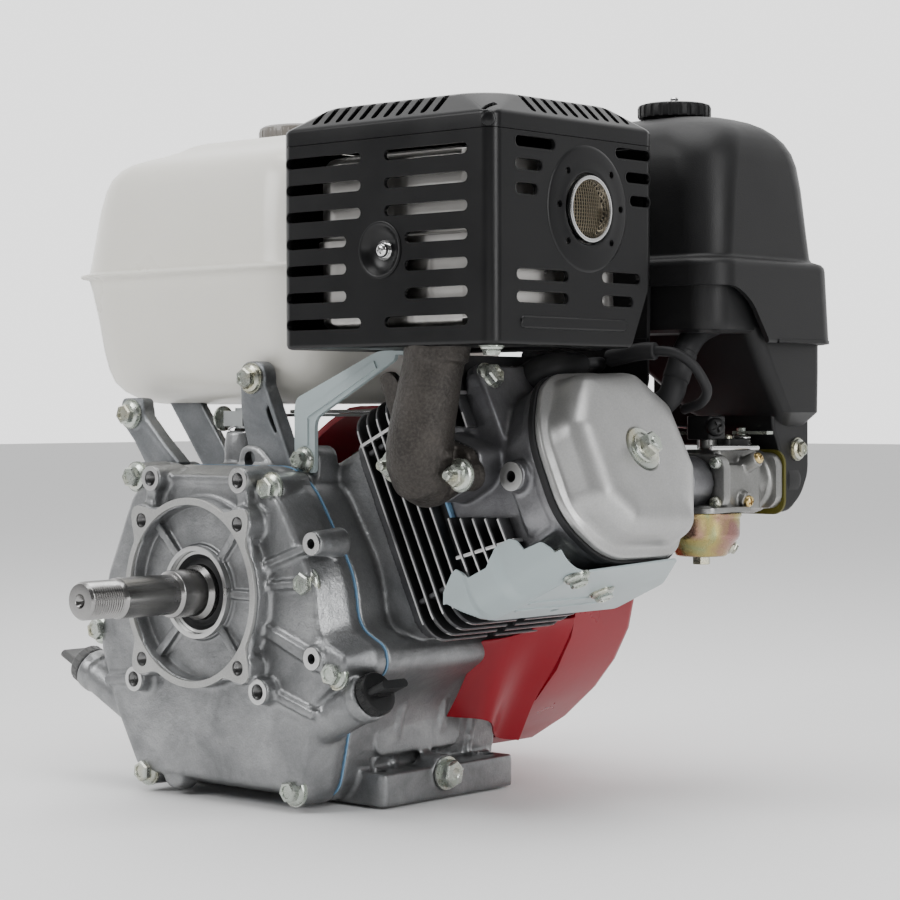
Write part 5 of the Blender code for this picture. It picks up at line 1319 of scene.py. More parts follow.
def stadium(u, v, length, width):
    """Long slot with round ends, along u."""
    steps = 8
    half = length / 2.0 - width / 2.0
    points = []
    for sign, first in ((1, -pi / 2.0), (-1, pi / 2.0)):
        for k in range(steps + 1):
            a = first + pi * k / steps
            points.append((u + sign * half + width / 2.0 * cos(a), v + width / 2.0 * sin(a)))
    return points


def shield_slots():
    """Louvre slots of the front wall: two columns, shorter beside the dished recess."""
    slots = []
    for row in range(7):
        z = SLOT_TOP_Z - SLOT_PITCH * row
        left_cut, right_cut = (12.0, 16.0) if row in (3, 4, 5) else (0.0, 0.0)
        for start, end in ((86.0, 148.0 - left_cut), (167.0 + right_cut, 232.0)):
            slots.append(((start + end) / 2.0, z, end - start))
    return slots


def side_slot_places():
    """Centre in d and z and length of each slot in the outer wall."""
    spans = [(25, 61, 402), (25, 49, 389), (25, 45, 375), (118, 152, 402), (128, 152, 388),
             (132, 152, 374), (26, 73, 326), (26, 73, 313), (105, 142, 327), (105, 135, 313)]
    return [((start + end) / 2.0, z, end - start) for start, end, z in spans]


def slot_lip(u, v, length, outline_place, face, inward):
    """The rolled edge of a pressed slot: a thin ring that stands inside the sheet."""
    outer = stadium(u, v, length + 1.6, SLOT_WIDTH + 1.6)
    inner = stadium(u, v, length - 0.2, SLOT_WIDTH - 0.2)
    levels = [(outer, face + 0.12), (inner, face), (inner, face + inward),
              (outer, face + inward)]
    return hoop(levels, outline_place)


def shield_box():
    """The folded box round the muffler, with all its slots and holes."""
    x0, x1 = SHIELD_X
    d0, d1 = SHIELD_D
    z0, z1 = SHIELD_Z
    corner = 9
    outer = loft([(rounded_box(x0 + 3, x1 - 3, d0 + 3, d1 - 3, corner - 3, 8), z0),
                  (rounded_box(x0 + 0.9, x1 - 0.9, d0 + 0.9, d1 - 0.9, corner - 1, 8),
                   z0 + 0.9),
                  (rounded_box(x0, x1, d0, d1, corner, 8), z0 + 3),
                  (rounded_box(x0, x1, d0, d1, corner, 8), z1)], top)
    t = SHEET
    hollow = prism(rounded_box(x0 + t, x1 - t, d0 + t, d1 - t, corner - t, 8), z0 + t, z1 + 5,
                   top)
    pipe_hole = drum(21, z0 - 5, z0 + 5, top, 191, 26.5, 36)
    belly = prism(rounded_box(x0 + 14, x1 - 14, d0 + 52, d1 - 14, 8, 4), z0 - 5, z0 + 5, top)
    front_slots = together(*[
        prism(stadium(x, z, length, SLOT_WIDTH), d0 - 5, d0 + 5, front)
        for x, z, length in shield_slots()])
    side_slots = together(*[
        prism(stadium(d, z, length, SLOT_WIDTH), x1 - 5, x1 + 5, side)
        for d, z, length in side_slot_places()])
    mouth = drum(21, x1 - 5, x1 + 5, side, *OUTLET, 48)
    corner_cut = prism([(131, z0 - 5), (170, z0 - 5), (170, 338), (158, 338)], x1 - 40,
                       x1 + 5, side)
    dish_hole = drum(15.6, d0 - 5, d0 + 5, front, *DISH, 48)
    screw_holes = together(*[drum(1.9, x1 - 4, x1 + 5, side, d, z, 16)
                             for d, z in OUTLET_SCREWS])
    thing = add("shield_box", outer, BLACK_PAINT,
                cut=[hollow, pipe_hole, belly, front_slots, side_slots, mouth, corner_cut,
                     dish_hole, screw_holes], replaces=["muffler_shield"], angle=40.0)
    return thing


def shield_lips():
    d0 = SHIELD_D[0]
    x1 = SHIELD_X[1]
    lips = [slot_lip(x, z, length, front, d0, 2.6) for x, z, length in shield_slots()]
    lips += [slot_lip(d, z, length, side, x1, -2.6) for d, z, length in side_slot_places()]
    thing = add("shield_slot_lips", together(*lips), BLACK_PAINT, angle=40.0)


def shield_dish():
    d0 = SHIELD_D[0]
    profile = [(16.6, d0 + 0.2), (16.9, d0 - 0.5), (16.0, d0 - 0.8), (14.6, d0 - 0.3),
               (12.6, d0 + 2.6), (9.0, d0 + 4.2), (5.0, d0 + 4.8), (0.4, d0 + 4.8)]
    back = [(r, h + 1.3) for r, h in profile[::-1]]
    shape = lathe(profile + back, front, DISH, 56)
    thing = add("shield_dish", shape, BLACK_PAINT, angle=60.0)
    washer = turned([(6.0, d0 + 3.4), (6.2, d0 + 4.0), (6.0, d0 + 5.4)], front, *DISH, 36)
    add("dish_washer", washer, BRIGHT)
    screw("dish_screw", (DISH[0], d0 + 3.2, DISH[1]), FORWARDS, 4.4, BRIGHT)


def outlet_plate():
    x = SHIELD_X[1]
    profile = [(21.0, x - 1.0), (21.2, x + 0.9), (22.4, x + 1.5), (24.5, x + 1.1),
               (30.0, x + 0.8), (35.5, x + 0.7), (37.4, x + 0.2), (37.6, x - 0.4)]
    shape = lathe(profile, side, OUTLET, 96)
    holes = together(*[drum(2.1, x - 4, x + 5, side, d, z, 16)
                       for d, z in OUTLET_SCREWS if (d - OUTLET[0]) ** 2 + (z - OUTLET[1]) ** 2
                       < 34 ** 2])
    thing = add("outlet_plate", shape, BLACK_PAINT, cut=[holes], angle=60.0)


def spark_screen():
    """The outlet tube with a domed mesh of crossing wires."""
    x = SHIELD_X[1]
    tube = ring(17.4, 19.8, x - 7, x + 3.4, side, *OUTLET, 64)
    thing = add("outlet_tube", tube, BRIGHT, bevel=0.6, replaces=["spark_arrester"])
    wires = []
    reach = 17.6
    pitch = 2.1
    count = int(reach / pitch)
    for k in range(-count, count + 1):
        offset = k * pitch
        half = sqrt(max(reach * reach - offset * offset, 0.0))
        if half < 1.0:
            continue
        for turned_over in (False, True):
            points = []
            steps = max(6, int(half))
            for j in range(steps + 1):
                along = -half + 2.0 * half * j / steps
                dome = 2.6 * (1.0 - (along * along + offset * offset) / (reach * reach))
                d, z = (offset, along) if turned_over else (along, offset)
                lift = 0.28 if turned_over else -0.28
                points.append((x - 3.4 + dome + lift, OUTLET[0] + d, OUTLET[1] + z))
            wires.append(tube_along(points, [0.36] * len(points), 5))
    mesh_thing = add("spark_mesh", together(*wires), SCREEN_WIRE, angle=60.0)
    # painted shade: a black disc behind the mesh stands in for the dark inside of the outlet tube
    back = drum(17.2, x - 6.4, x - 5.6, side, *OUTLET, 48)
    back_thing = add("spark_mesh_shade_disc", back, HOLE_SHADE_BLACK)


def shield_lid():
    """The lid with sloping edges, slotted in front and at the side."""
    x0, x1 = SHIELD_X
    d0, d1 = SHIELD_D
    z = SHIELD_Z[1] + 0.4
    band = z + 9
    crown = z + 23
    slope = 16.0
    t = SHEET

    def level(amount, radius):
        return rounded_box(x0 + amount, x1 - amount, d0 + amount, d1 - amount, radius, 8)
    outer = loft([(level(0, 9), z), (level(0, 9), band - 1.2), (level(0.5, 9), band + 0.3),
                  (level(1.6, 10), band + 1.6), (level(slope - 2.6, 22), crown - 1.5),
                  (level(slope - 0.6, 23), crown - 0.4), (level(slope + 2.4, 24), crown)],
                 top)
    inner = loft([(level(t, 8), z - 2), (level(t, 8), band - 1.6),
                  (level(t + 1.4, 9), band + 0.9), (level(slope - 1.6, 21), crown - 2.6),
                  (level(slope + 2.8, 22), crown - t)], top)
    front_slots = [
        prism(rounded_box(x, x + LID_SLOT, d0 + 3, d0 + slope - 1, 1.8, 4), band - 1,
              crown + 5, top)
        for x in (x0 + 24 + LID_PITCH * i for i in range(11))]
    side_slots = [
        prism(rounded_box(x1 - slope + 1, x1 - 3, d, d + LID_SLOT, 1.8, 4), band - 1,
              crown + 5, top)
        for d in (d0 + 40 + LID_PITCH * i for i in range(10))]
    slots = together(*front_slots, *side_slots)
    thing = add("shield_lid", outer, BLACK_PAINT, cut=[inner, slots],
                replaces=["muffler_shield_lid"], angle=40.0)
    notch = prism(rounded_box(x1 - 9.4, x1 - 5.8, d0 + 1.5, d0 + 13, 1.2, 3), band + 0.5,
                  crown + 4, top)
    cut_away(thing, [notch])
    dress(thing, BLACK_PAINT, 40.0)
    place = direction_place((x1 - 3.6, d0 + 1.6, z + 4.4), (0.6, -0.8, 0))
    rivet = turned([(4.2, -0.6), (4.0, 0.5), (3.0, 1.1), (1.0, 1.3)], place, steps=28)
    rivet_thing = add("lid_corner_rivet", rivet, BLACK_PAINT)


def muffler_can():
    x0, x1 = SHIELD_X[0] + 9, SHIELD_X[1] - 9
    d0, d1 = SHIELD_D[0] + 9, SHIELD_D[1] - 9
    z0, z1 = 294.0, 402.0
    middle = (z0 + z1) / 2.0

    def level(amount):
        return rounded_box(x0 + amount, x1 - amount, d0 + amount, d1 - amount, 26, 8)
    outer = loft([(level(12), z0), (level(5), z0 + 2.0), (level(2), z0 + 7), (level(2),
                  middle - 3), (level(0.2), middle - 2.6), (level(0.2), middle + 2.6),
                  (level(2), middle + 3), (level(2), z1 - 7), (level(5), z1 - 2),
                  (level(12), z1)], top)
    thing = add("muffler_can", outer, MUFFLER_STEEL, bevel=0.8, replaces=["muffler"], segments=3)
    neck = ring(17.2, 20, x1 - 6, SHIELD_X[1] - 8, side, *OUTLET, 48)
    neck_thing = add("muffler_neck", neck, MUFFLER_STEEL, bevel=0.4)


def screw(name, centre, axis, radius, look=BOLT_ZINC):
    """Pan-head cross-slot screw."""
    place = direction_place(centre, axis, 0.4)
    head = turned([(radius, 0), (radius, radius * 0.45), (radius * 0.8, radius * 0.75),
                   (radius * 0.45, radius * 0.88)], place, steps=24)
    slots = [prism(box_outline(-a, a, -b, b), radius * 0.45, radius * 1.2, place)
             for a, b in ((radius * 0.6, radius * 0.13), (radius * 0.13, radius * 0.6))]
    return add(name, head, look, cut=slots, angle=40.0)


def side_bead():
    """Long pressed bead low on the outer wall."""
    x1 = SHIELD_X[1]
    bead = loft([(stadium(79, 298.5, 100, 8), x1 - 0.6), (stadium(79, 298.5, 99, 7), x1 + 0.7),
                 (stadium(79, 298.5, 97, 5), x1 + 1.2)], side)
    thing = add("shield_bead", bead, BLACK_PAINT, angle=60.0)


shield_box()
side_bead()
shield_lips()
shield_dish()
outlet_plate()
spark_screen()
shield_lid()
muffler_can()
hex_bolt("shield_corner_bolt", (236, 20, 284.6), (0, 0, -1), SMALL_HEAD, tall=5.0, spin=0.4)


# ---------------------------------------------------------------- fuel tank and air cleaner

TANK_X = (-192.0, 60.0)
TANK_D = (48.0, 290.0)
CAP_CENTRE = (-68.0, 169.0)
TANK_LEVELS = [
    (58, 252.6, 22), (48, 253, 26), (41, 254, 30), (33, 257, 32), (26, 261.6, 34),
    (20.5, 268, 36), (17, 277, 38), (14, 290, 40), (11, 310, 42), (7.6, 330, 43),
    (5.8, 338.2, 44), (4.6, 339.4, 45), (1.2, 339.9, 47), (0.3, 340.5, 48), (0.3, 341.7, 48),
    (1.2, 342.2, 47), (4.6, 342.7, 45), (5.8, 344.0, 44), (7.0, 352, 44), (9.0, 368, 44),
    (11.6, 386, 43), (14.4, 400, 43), (17.6, 408.6, 42), (22, 414.6, 41), (28, 418.6, 38),
    (36, 421.6, 35), (46, 424.6, 32), (54, 427.6, 28), (60, 431, 25), (66, 433.2, 22),
    (72, 434, 20),
]
CLEANER_X = (115.0, 278.0)
CLEANER_D = (182.0, 322.0)
CLEANER_CENTRE = (195.0, 252.0)
COLLAR_LOW = 290.0
COLLAR_HIGH = 343.0


def tank_level(step, height, radius):
    x0, x1 = TANK_X
    d0, d1 = TANK_D
    return rounded_box(x0 + step, x1 - step, d0 + step, d1 - step, radius, 10), height


def tank_piece():
    """The tank shell with its neck, seam and cap."""
    outer = loft([tank_level(*row) for row in TANK_LEVELS], top)
    inner = loft([tank_level(step + 2, height, max(radius - 2, 8))
                  for step, height, radius in TANK_LEVELS
                  if step > 5.0 and 256 < height < 431], top)
    neck = turned([(24, 425), (24, 437.6), (23, 438)], top, *CAP_CENTRE, 48)
    mouth = drum(21, 420, 450, top, *CAP_CENTRE, 48)
    thing = add("tank_shell", outer, CREAM, join=[neck], cut=[inner, mouth],
                replaces=["fuel_tank"], angle=70.0)
    skirt = turned([(27.2, 435.6), (28.6, 436.4), (28.8, 441.6), (28.0, 444.6), (25.6, 446.2),
                    (20, 447.0), (8, 447.2)], top, *CAP_CENTRE, 64)
    well = drum(25, 430, 440, top, *CAP_CENTRE, 48)
    grips = notches(36, 29.2, 1.1, 430, 445, top, *CAP_CENTRE, 8)
    cap = add("tank_cap_pressing", skirt, CAP_BROWN, "tank_cap", cut=[well, grips],
              bevel=0.3, replaces=["fuel_cap"])
    disc = turned([(18, 446.6), (17, 447.4)], top, *CAP_CENTRE, 48)
    add("tank_cap_centre", disc, CAP_BROWN, "tank_cap", bevel=0.3)
    ring_thing = add("tank_cap_seal", ring(22.5, 24.6, 436.8, 438.6, top, *CAP_CENTRE, 48),
                     BLACK_RUBBER)


def cleaner_box(shrink, radius):
    x0, x1 = CLEANER_X
    d0, d1 = CLEANER_D
    return rounded_box(x0 + shrink, x1 - shrink, d0 + shrink, d1 - shrink, radius, 10)


def cleaner_cover_piece():
    levels = [(1.6, 20, COLLAR_LOW), (0.3, 21, COLLAR_LOW + 1.0), (0, 21, COLLAR_LOW + 3),
              (1.4, 22, COLLAR_HIGH - 6), (1.8, 22, COLLAR_HIGH - 3.4),
              (3.2, 22, COLLAR_HIGH - 1.4), (5.6, 22, COLLAR_HIGH - 0.4),
              (7.6, 22, COLLAR_HIGH + 0.4), (8.6, 22, COLLAR_HIGH + 2.6), (9.6, 24, 362),
              (11.2, 27, 390), (12.4, 30, 405), (14, 32, 413), (17, 34, 420),
              (21.5, 34, 425.5), (27, 32, 429.6), (34, 28, 432.8), (42, 23, 435),
              (50, 17, 436.2), (58, 10, 437)]
    outer = loft([(cleaner_box(shrink, radius), height) for shrink, radius, height in levels],
                 top)
    inner = loft([(cleaner_box(3, 18), COLLAR_LOW - 5), (cleaner_box(4.5, 20), COLLAR_HIGH - 6),
                  (cleaner_box(11.5, 20), COLLAR_HIGH), (cleaner_box(15, 28), 404),
                  (cleaner_box(22, 28), 419), (cleaner_box(31, 24), 427.0),
                  (cleaner_box(44, 18), 431.5), (cleaner_box(57, 9), 434)], top)
    stud_hole = drum(5, 420, 450, top, *CLEANER_CENTRE, 24)
    arch = prism(rounded([(150, COLLAR_LOW - 5), (150, 325), (205, 325), (222, 316),
                          (244, COLLAR_LOW - 5)], 10, 5), 225, 300, side)
    thing = add("cleaner_cover_shell", outer, CLEANER_BLACK, "cleaner_cover",
                cut=[inner, stud_hole, arch], replaces=["air_cleaner_cover"], angle=60.0)
    lip_levels = [(cleaner_box(shrink, 21), height) for shrink, height in
                  ((2.0, COLLAR_LOW - 0.2), (-0.4, COLLAR_LOW + 0.4),
                   (-0.4, COLLAR_LOW + 2.6), (2.0, COLLAR_LOW + 3.2))]
    lip = add("cleaner_cover_lip", hoop(lip_levels, top), CLEANER_BLACK, "cleaner_cover",
              cut=[prism(box_outline(146, 250, 280, 300), 225, 300, side)])


def cleaner_knob_piece():
    profile = [(20, 437.6), (23.4, 438.2), (24, 439.4), (24, 444.6), (23.2, 446.4),
               (20.6, 447.3), (13, 447.5), (9, 447.5)]
    body = turned(profile, top, *CLEANER_CENTRE, 64)
    hole = drum(3.4, 430, 450, top, *CLEANER_CENTRE, 24)
    flutes = notches(24, 24.4, 1.7, 437, 449, top, *CLEANER_CENTRE)
    dish = ring(11.5, 18.5, 446.4, 449, top, *CLEANER_CENTRE, 48)
    thing = add("cleaner_knob_moulded", body, CLEANER_BLACK, "cleaner_knob",
                cut=[hole, flutes, dish], bevel=0.25, replaces=["air_cleaner_knob"])
    stud_profile = [(2.9, 300)]
    for i in range(8):
        stud_profile += [(3.0, 440.5 + 1.25 * i), (2.55, 441.1 + 1.25 * i)]
    stud_profile += [(2.9, 451.0), (2.2, 452.0)]
    stud = turned(stud_profile, top, *CLEANER_CENTRE, 24)
    stud_thing = add("cleaner_stud", stud, BRIGHT)


def cleaner_case_piece():
    """The lower cleaner case, its snout and the elbow to the carburettor."""
    x, z = CARB_AXIS
    tub = loft([(cleaner_box(13, 15), 296), (cleaner_box(10, 17), 298),
                (cleaner_box(8, 18), 304), (cleaner_box(8, 18), 336)], top)
    hollow = loft([(cleaner_box(14.5, 14), 299), (cleaner_box(10.5, 16), 306),
                   (cleaner_box(10.5, 16), 350)], top)
    snout = loft([(rounded_box(207, 254, 286, 309, 8, 6), 234.5),
                  (rounded_box(203, 258, 282, 312, 8, 6), 237),
                  (rounded_box(190, 269, 270, 314, 9, 6), 246),
                  (rounded_box(170, 270, 250, 314, 10, 6), 272),
                  (rounded_box(150, 270, 232, 314, 10, 6), 300)], top)
    start = CARB_D[1] + 3
    elbow = [turned([(20, start), (21, start + 1), (21, start + 12), (19.8, start + 16),
                     (17, start + 21), (12, start + 24.6), (6, start + 26.6)], front, x, z, 40),
             drum(15.5, z - 2, z + 50, top, x - 2, start + 16, 40)]
    clip = ring(15.6, 18.2, z + 24, z + 30, top, x - 2, start + 16, 40)
    elbow_bore = drum(13, start - 5, start + 14, front, x, z, 32)
    thing = add("cleaner_case_moulded", tub, CLEANER_BLACK, join=[snout, *elbow, clip],
                cut=[hollow, elbow_bore], bevel=0.5, replaces=["air_cleaner_case"],
                angle=32.0)
    hex_bolt("elbow_bolt", (259, 300, 222), (1, 0, 0), SMALL_HEAD, tall=5.0, spin=0.4)
    bead = drum(6.5, 246, 258, side, 300, 222, 24)
    bead_thing = add("elbow_lug", bead, CLEANER_BLACK, bevel=0.6)


tank_piece()
cleaner_cover_piece()
cleaner_knob_piece()
cleaner_case_piece()


# ---------------------------------------------------------------- carburettor

SPRING_WIRE = 0.55
BOWL_D = 222.0
THROTTLE_D = 229.0
CHOKE_D = 266.0
REAR_FACE_D = CARB_D[1] - 9.0
FUEL_VALVE = (203.0, 276.0, 194.0)


def carburettor_piece():
    """The cast body between its flanges, with screws, caps and plates."""
    x, z = CARB_AXIS
    d0, d1 = CARB_D[0], REAR_FACE_D
    barrel = turned([(18, d0 + 4), (19, d0 + 14), (19, d1 - 10), (22, d1 - 4)], front, x, z, 48)
    flanges = [prism(rounded_box(x - 24, x + 24, z - 18, z + 18, 9, 6), low, high, front)
               for low, high in ((d0, d0 + 7), (d1 - 7, d1 - 0.1))]
    stem = turned([(13, z - 18.8), (12, z)], top, x, BOWL_D, 32)
    lid = turned([(23, z - 19), (23, z - 17), (20, z - 14)], top, x, BOWL_D, 48)
    valve_x, valve_d, valve_z = FUEL_VALVE
    fuel_boss = turned([(8, valve_x + 3.4), (8.6, x - 12)], side, valve_d, valve_z, 28)
    towers = [turned([(6.2, z + 10), (5.6, z + 29.4)], top, x, d, 28)
              for d in (THROTTLE_D, CHOKE_D)]
    top_pad = prism(rounded_box(x - 15, x + 14, d0 + 8, d1 - 12, 5, 4), z + 10, z + 20.5, top)
    pilot = tube_along([(x + 12, 246, z + 8), (x + 26, 247, z + 15)], [6, 5], 24)
    jets = tube_along([(x + 10, 240, z - 8), (x + 23, 240, z - 12)], [6, 5.4], 24)
    body = prism(rounded_box(x - 20, x + 19, d0 + 4, d1 - 14, 6, 4), z - 18, z + 11, top)
    shapes = [barrel, body, *flanges, stem, lid, fuel_boss, *towers, top_pad, pilot, jets]
    throat = drum(12.5, 190, 300, front, x, z, 40)
    spindle_holes = together(*[drum(3.3, z - 21, z + 32, top, x, d, 20)
                               for d in (THROTTLE_D, CHOKE_D)])
    thing = cast_piece("carburettor_casting", shapes, CARB_ALU, voxel=0.75, rounds=3,
                       late_cut=[throat, spindle_holes])
    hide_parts("carburetor_body")
    linkage_cap = prism(rounded([(x - 13, d0 + 20), (x + 13, d0 + 20), (x + 15, d0 + 42),
                                 (x + 4, d0 + 50), (x - 13, d0 + 42)], 4, 4), z + 20.6,
                        z + 27.5, top)
    cap_thing = add("carburettor_top_cap", linkage_cap, BLACK_PLASTIC, bevel=0.8,
                    segments=3)
    screw("cap_screw", (x + 8, d0 + 26, z + 27.3), (0, 0, 1), 3.2)
    screw("pilot_screw", (x + 25.4, 247, z + 14.7), (0.86, 0.06, 0.5), 3.8, BRASS)
    screw("jet_plug", (x + 22.8, 240, z - 12), (0.93, 0, -0.3), 3.8, BRASS)
    for i, sz in enumerate((-12.5, 12.5)):
        screw("flange_nut_%d" % i, (x + 18, d0 - 0.2, z + sz), FORWARDS, 4.0)
    screw("idle_screw", (x + 14, 217, z + 35), (0.75, -0.66, 0), 6.0, BLACK_PLASTIC)
    block = prism(rounded_box(x - 6, x + 14, 213, 230, 3, 4), z + 27, z + 42, top)
    add("idle_screw_block", block, BLACK_PLASTIC, bevel=1.0, segments=3)
    pin = pipe("carburettor_rod", [(x + 19.4, 205, z + 22), (x + 19.6, 230, z + 21.8),
                                   (x + 19.8, 256, z + 21.4)], 1.8, BRIGHT)
    plinth = prism(rounded_box(x - 24, x + 24, BOWL_D - 24, BOWL_D + 26, 8, 5), z - 19,
                   z - 15.4, top)
    plinth_thing = add("bowl_plate", plinth, CARB_ALU, bevel=0.6)
    turns = 3
    steps = 12
    points = []
    for k in range(turns * steps + 1):
        a = 2 * pi * k / steps
        points.append((x + 7.0 * cos(a), CHOKE_D + 7.0 * sin(a),
                       z + 21.5 + 6.5 * k / (turns * steps)))
    spring = tube_along(points, [SPRING_WIRE] * len(points), 6)
    add("choke_spring", spring, BRIGHT, angle=60.0)


def bowl_piece():
    x, z = CARB_AXIS
    high = z - 19.2
    profile = [(9, high - 28), (15.4, high - 27.6), (16.6, high - 26.6), (18.0, high - 23.6),
               (23.2, high - 16.6), (24.0, high - 15.2), (24.3, high - 13.4), (24.4, high - 3.6),
               (24.8, high - 2.8), (25.4, high - 2.2), (25.4, high - 0.4), (24.8, high)]
    outer = turned(profile, top, x, BOWL_D, 72)
    inner = turned([(10, high - 25.5), (16.8, high - 22.5), (19.2, high - 10),
                    (19.2, high + 5)], top, x, BOWL_D, 48)
    thing = add("bowl_pressing", outer, BOWL_ZINC, cut=[inner], angle=50.0,
                replaces=["float_bowl"])
    nut = prism(circle(6.0, 6, x, BOWL_D), high - 33, high - 27.6, top)
    washer = drum(7.6, high - 28.2, high - 27, top, x, BOWL_D, 32)
    nut_thing = add("bowl_nut", nut, BOLT_ZINC, join=[washer], bevel=0.4)
    hex_bolt("bowl_drain_screw", (x + 13, BOWL_D + 13, high - 21.5), (0.6, 0.6, -0.5), 7.0,
             tall=4.5)


def gasket_and_levers():
    x, z = CARB_AXIS
    plate = prism(rounded_box(x - 25, x + 25, z - 22, z + 20, 9, 5), REAR_FACE_D + 0.2,
                  REAR_FACE_D + 2.6, front)
    port = drum(13, 255, 300, front, x, z, 32)
    thing = add("carburettor_seal", plate, GASKET_OLIVE, cut=[port], bevel=0.3,
                replaces=["carburetor_gasket"])
    for node in ("throttle_valve", "choke_valve"):
        node_look(node, BOLT_ZINC, 0.25)


def cleaner_elbow():
    """Black air duct that carries the filtered air down to the carburettor."""
    x, z = CARB_AXIS
    d = REAR_FACE_D + 2.7
    outline = [(d, z - 21), (d, z + 22), (d - 8, z + 34), (d - 8, z + 52), (d + 34, z + 52),
               (d + 34, z + 4), (d + 26, z - 10), (d + 12, z - 20)]
    duct = prism(rounded(outline, 6, 5), x - 24, x + 20, side)
    neck = prism(rounded_box(150, 236, 224, 290, 6, 4), 288, 300, front)
    thing = add("cleaner_elbow", duct, BLACK_PLASTIC, join=[neck], bevel=2.0, segments=3)


carburettor_piece()
cleaner_elbow()
bowl_piece()
gasket_and_levers()


# ---------------------------------------------------------------- fan housing and starter

HOUSING_R = 122.0
HOUSING_TOP = 251.5
HOUSING_D = (191.0, 262.0)
LEAD_HOLE = (70.0, 206.0)
CONTROL = (84.0, 232.0, 257.0)
GRIP = (-59.0, 305.0, 228.0)
SHROUD_V = -91.5
SWITCH = (128.0, 262.5, 160.0)


def housing_outline(amount=0.0):
    arc = [(HOUSING_R * cos(radians(t)), CRANK_HEIGHT + HOUSING_R * sin(radians(t)))
           for t in range(85, 301, 5)]
    arc = [(x, min(z, HOUSING_TOP)) for x, z in arc]
    duct = [(72, 22), (99, 38), (125, 60), (142, 80), (154, 102), (159, 124), (158, 156),
            (146, 190), (118, 222), (80, 242), (50, HOUSING_TOP)]
    return inset(arc + duct, amount) if amount else arc + duct


def fan_housing_piece():
    outline = housing_outline
    front_d, back_d = HOUSING_D
    outer = loft([(outline(), front_d), (outline(), back_d - 9), (outline(1.2), back_d - 4.6),
                  (outline(4.2), back_d - 1.4), (outline(8.5), back_d)], front)
    hollow = prism(outline(2), 185, back_d - 2, front)
    eye = drum(88, 255, 270, front, 0, CRANK_HEIGHT, 72)
    x, d, z = CONTROL
    post = drum(8, 236, z - 0.3, top, x, d, 28)
    post_hole = drum(4.3, z - 8, z + 5, top, x, d, 24)
    lead_hole = drum(5, 230, 270, top, *LEAD_HOLE, 24)
    thing = add("fan_housing_pressing", outer, RED, join=[post],
                cut=[hollow, eye, post_hole, lead_hole], bevel=0.4,
                replaces=["fan_housing"], angle=30.0)
    lip_levels = []
    for amount, height in ((0.2, front_d + 5.0), (-2.6, front_d + 4.2), (-2.6, front_d + 0.6),
                           (0.2, front_d + 0.2)):
        edge = [(a, min(b, HOUSING_TOP - 0.2)) for a, b in outline(amount)]
        lip_levels.append((edge, height))
    lip_thing = add("fan_housing_rim", hoop(lip_levels, front), RED, angle=50.0)
    seat = ring(94, 104, back_d - 0.6, back_d + 0.3, front, 0, CRANK_HEIGHT, 72)
    seat_thing = add("starter_seat", seat, RED, bevel=0.3)
    for i, angle in enumerate((38, 142, 200, 250, 335)):
        a = radians(angle)
        hex_bolt("housing_bolt_%d" % i,
                 (112 * cos(a), back_d - 0.4, CRANK_HEIGHT + 112 * sin(a)), (0, 1, 0),
                 SMALL_HEAD, tall=5.5, spin=0.3 * i)


def cooling_duct():
    """Red sheet that leads the fan's air from its housing round to the cylinder's underside."""
    free_edge = [(99, 134, 50), (108, 134, 64), (117, 134, 80), (126, 134, 97), (129, 136, 101)]
    fold = [(124, 146, 48), (128, 146, 64), (134, 146, 82), (140, 146, 100), (143, 148, 104)]
    deep = [(108, 172, 34), (120, 172, 56), (134, 172, 80), (150, 170, 104), (157, 168, 112)]
    housing_edge = [(112, 191, 30), (126, 191, 58), (142, 191, 80), (155, 191, 102),
                    (160, 191, 114)]
    curves = [smooth_route([Vector(point) for point in edge], 4)
              for edge in (free_edge, fold, deep, housing_edge)]
    rows = [smooth_route(list(section), 5) for section in zip(*curves)]
    thing = pressed_sheet("duct_sheet", rows, 1.3, RED)


def recoil_piece():
    """The vented starter dish with its post, rope guide and bolts."""
    z = CRANK_HEIGHT
    profile = [(98, 262.4), (98.6, 263.0), (98.6, 265.4), (97.6, 266.6), (95.4, 269),
               (93, 276), (90.4, 288), (88.4, 297), (85.6, 305), (81.4, 310.8), (75, 315),
               (66, 317.4), (50, 318.6), (30, 319)]
    outer = turned(profile, front, 0, z, 96)
    inner = turned([(86, 255), (86, 264), (84, 288), (79, 304), (70, 312.4), (58, 315.8),
                    (30, 316.5)], front, 0, z, 72)
    vents = []
    for i in range(8):
        turn = 2 * pi * i / 8
        for k in range(3):
            inner_r, outer_r = 48 + 3 * k, 76
            offset = -8.5 + 8.5 * k
            points = rounded_box(inner_r, outer_r, offset - 2.2, offset + 2.2, 2.1, 4)
            outline = [(a * cos(turn) - b * sin(turn), z + a * sin(turn) + b * cos(turn))
                       for a, b in points]
            vents.append(prism(outline, 300, 330, front))
    post = drum(7, 270, 318, front, 0, z, 28)
    x, d, gz = GRIP
    guide = tube_along([(x + 24, d - 12, gz - 36), (x + 14, d - 5, gz - 22),
                        (x + 6, d, gz - 9.6)], [14, 11, 9], 28)
    cover = turned([(26, 317), (26, 320.2), (24, 321.0), (12, 321.4)], front, 0, z, 48)
    thing = add("recoil_pressing", outer, RED, join=[guide], cut=[inner, *vents],
                replaces=["recoil_housing"], angle=40.0)
    post_thing = add("recoil_post", post, BRIGHT)
    cover_thing = add("recoil_centre", cover, BLACK_PLASTIC, bevel=0.4)
    for i, angle in enumerate((60, 180, 300)):
        a = radians(angle)
        hex_bolt("recoil_bolt_%d" % i, (94.4 * cos(a), 268.6, z + 94.4 * sin(a)), (0, 1, 0),
                 8.5, tall=4.6, spin=0.2 * i)
    bush = tube_along([(x + 7.5, d, gz - 12), (x + 5.4, d, gz - 8.6)], [7.0, 7.0], 28)
    add("rope_guide_bush", bush, BLACK_PLASTIC, bevel=0.6)


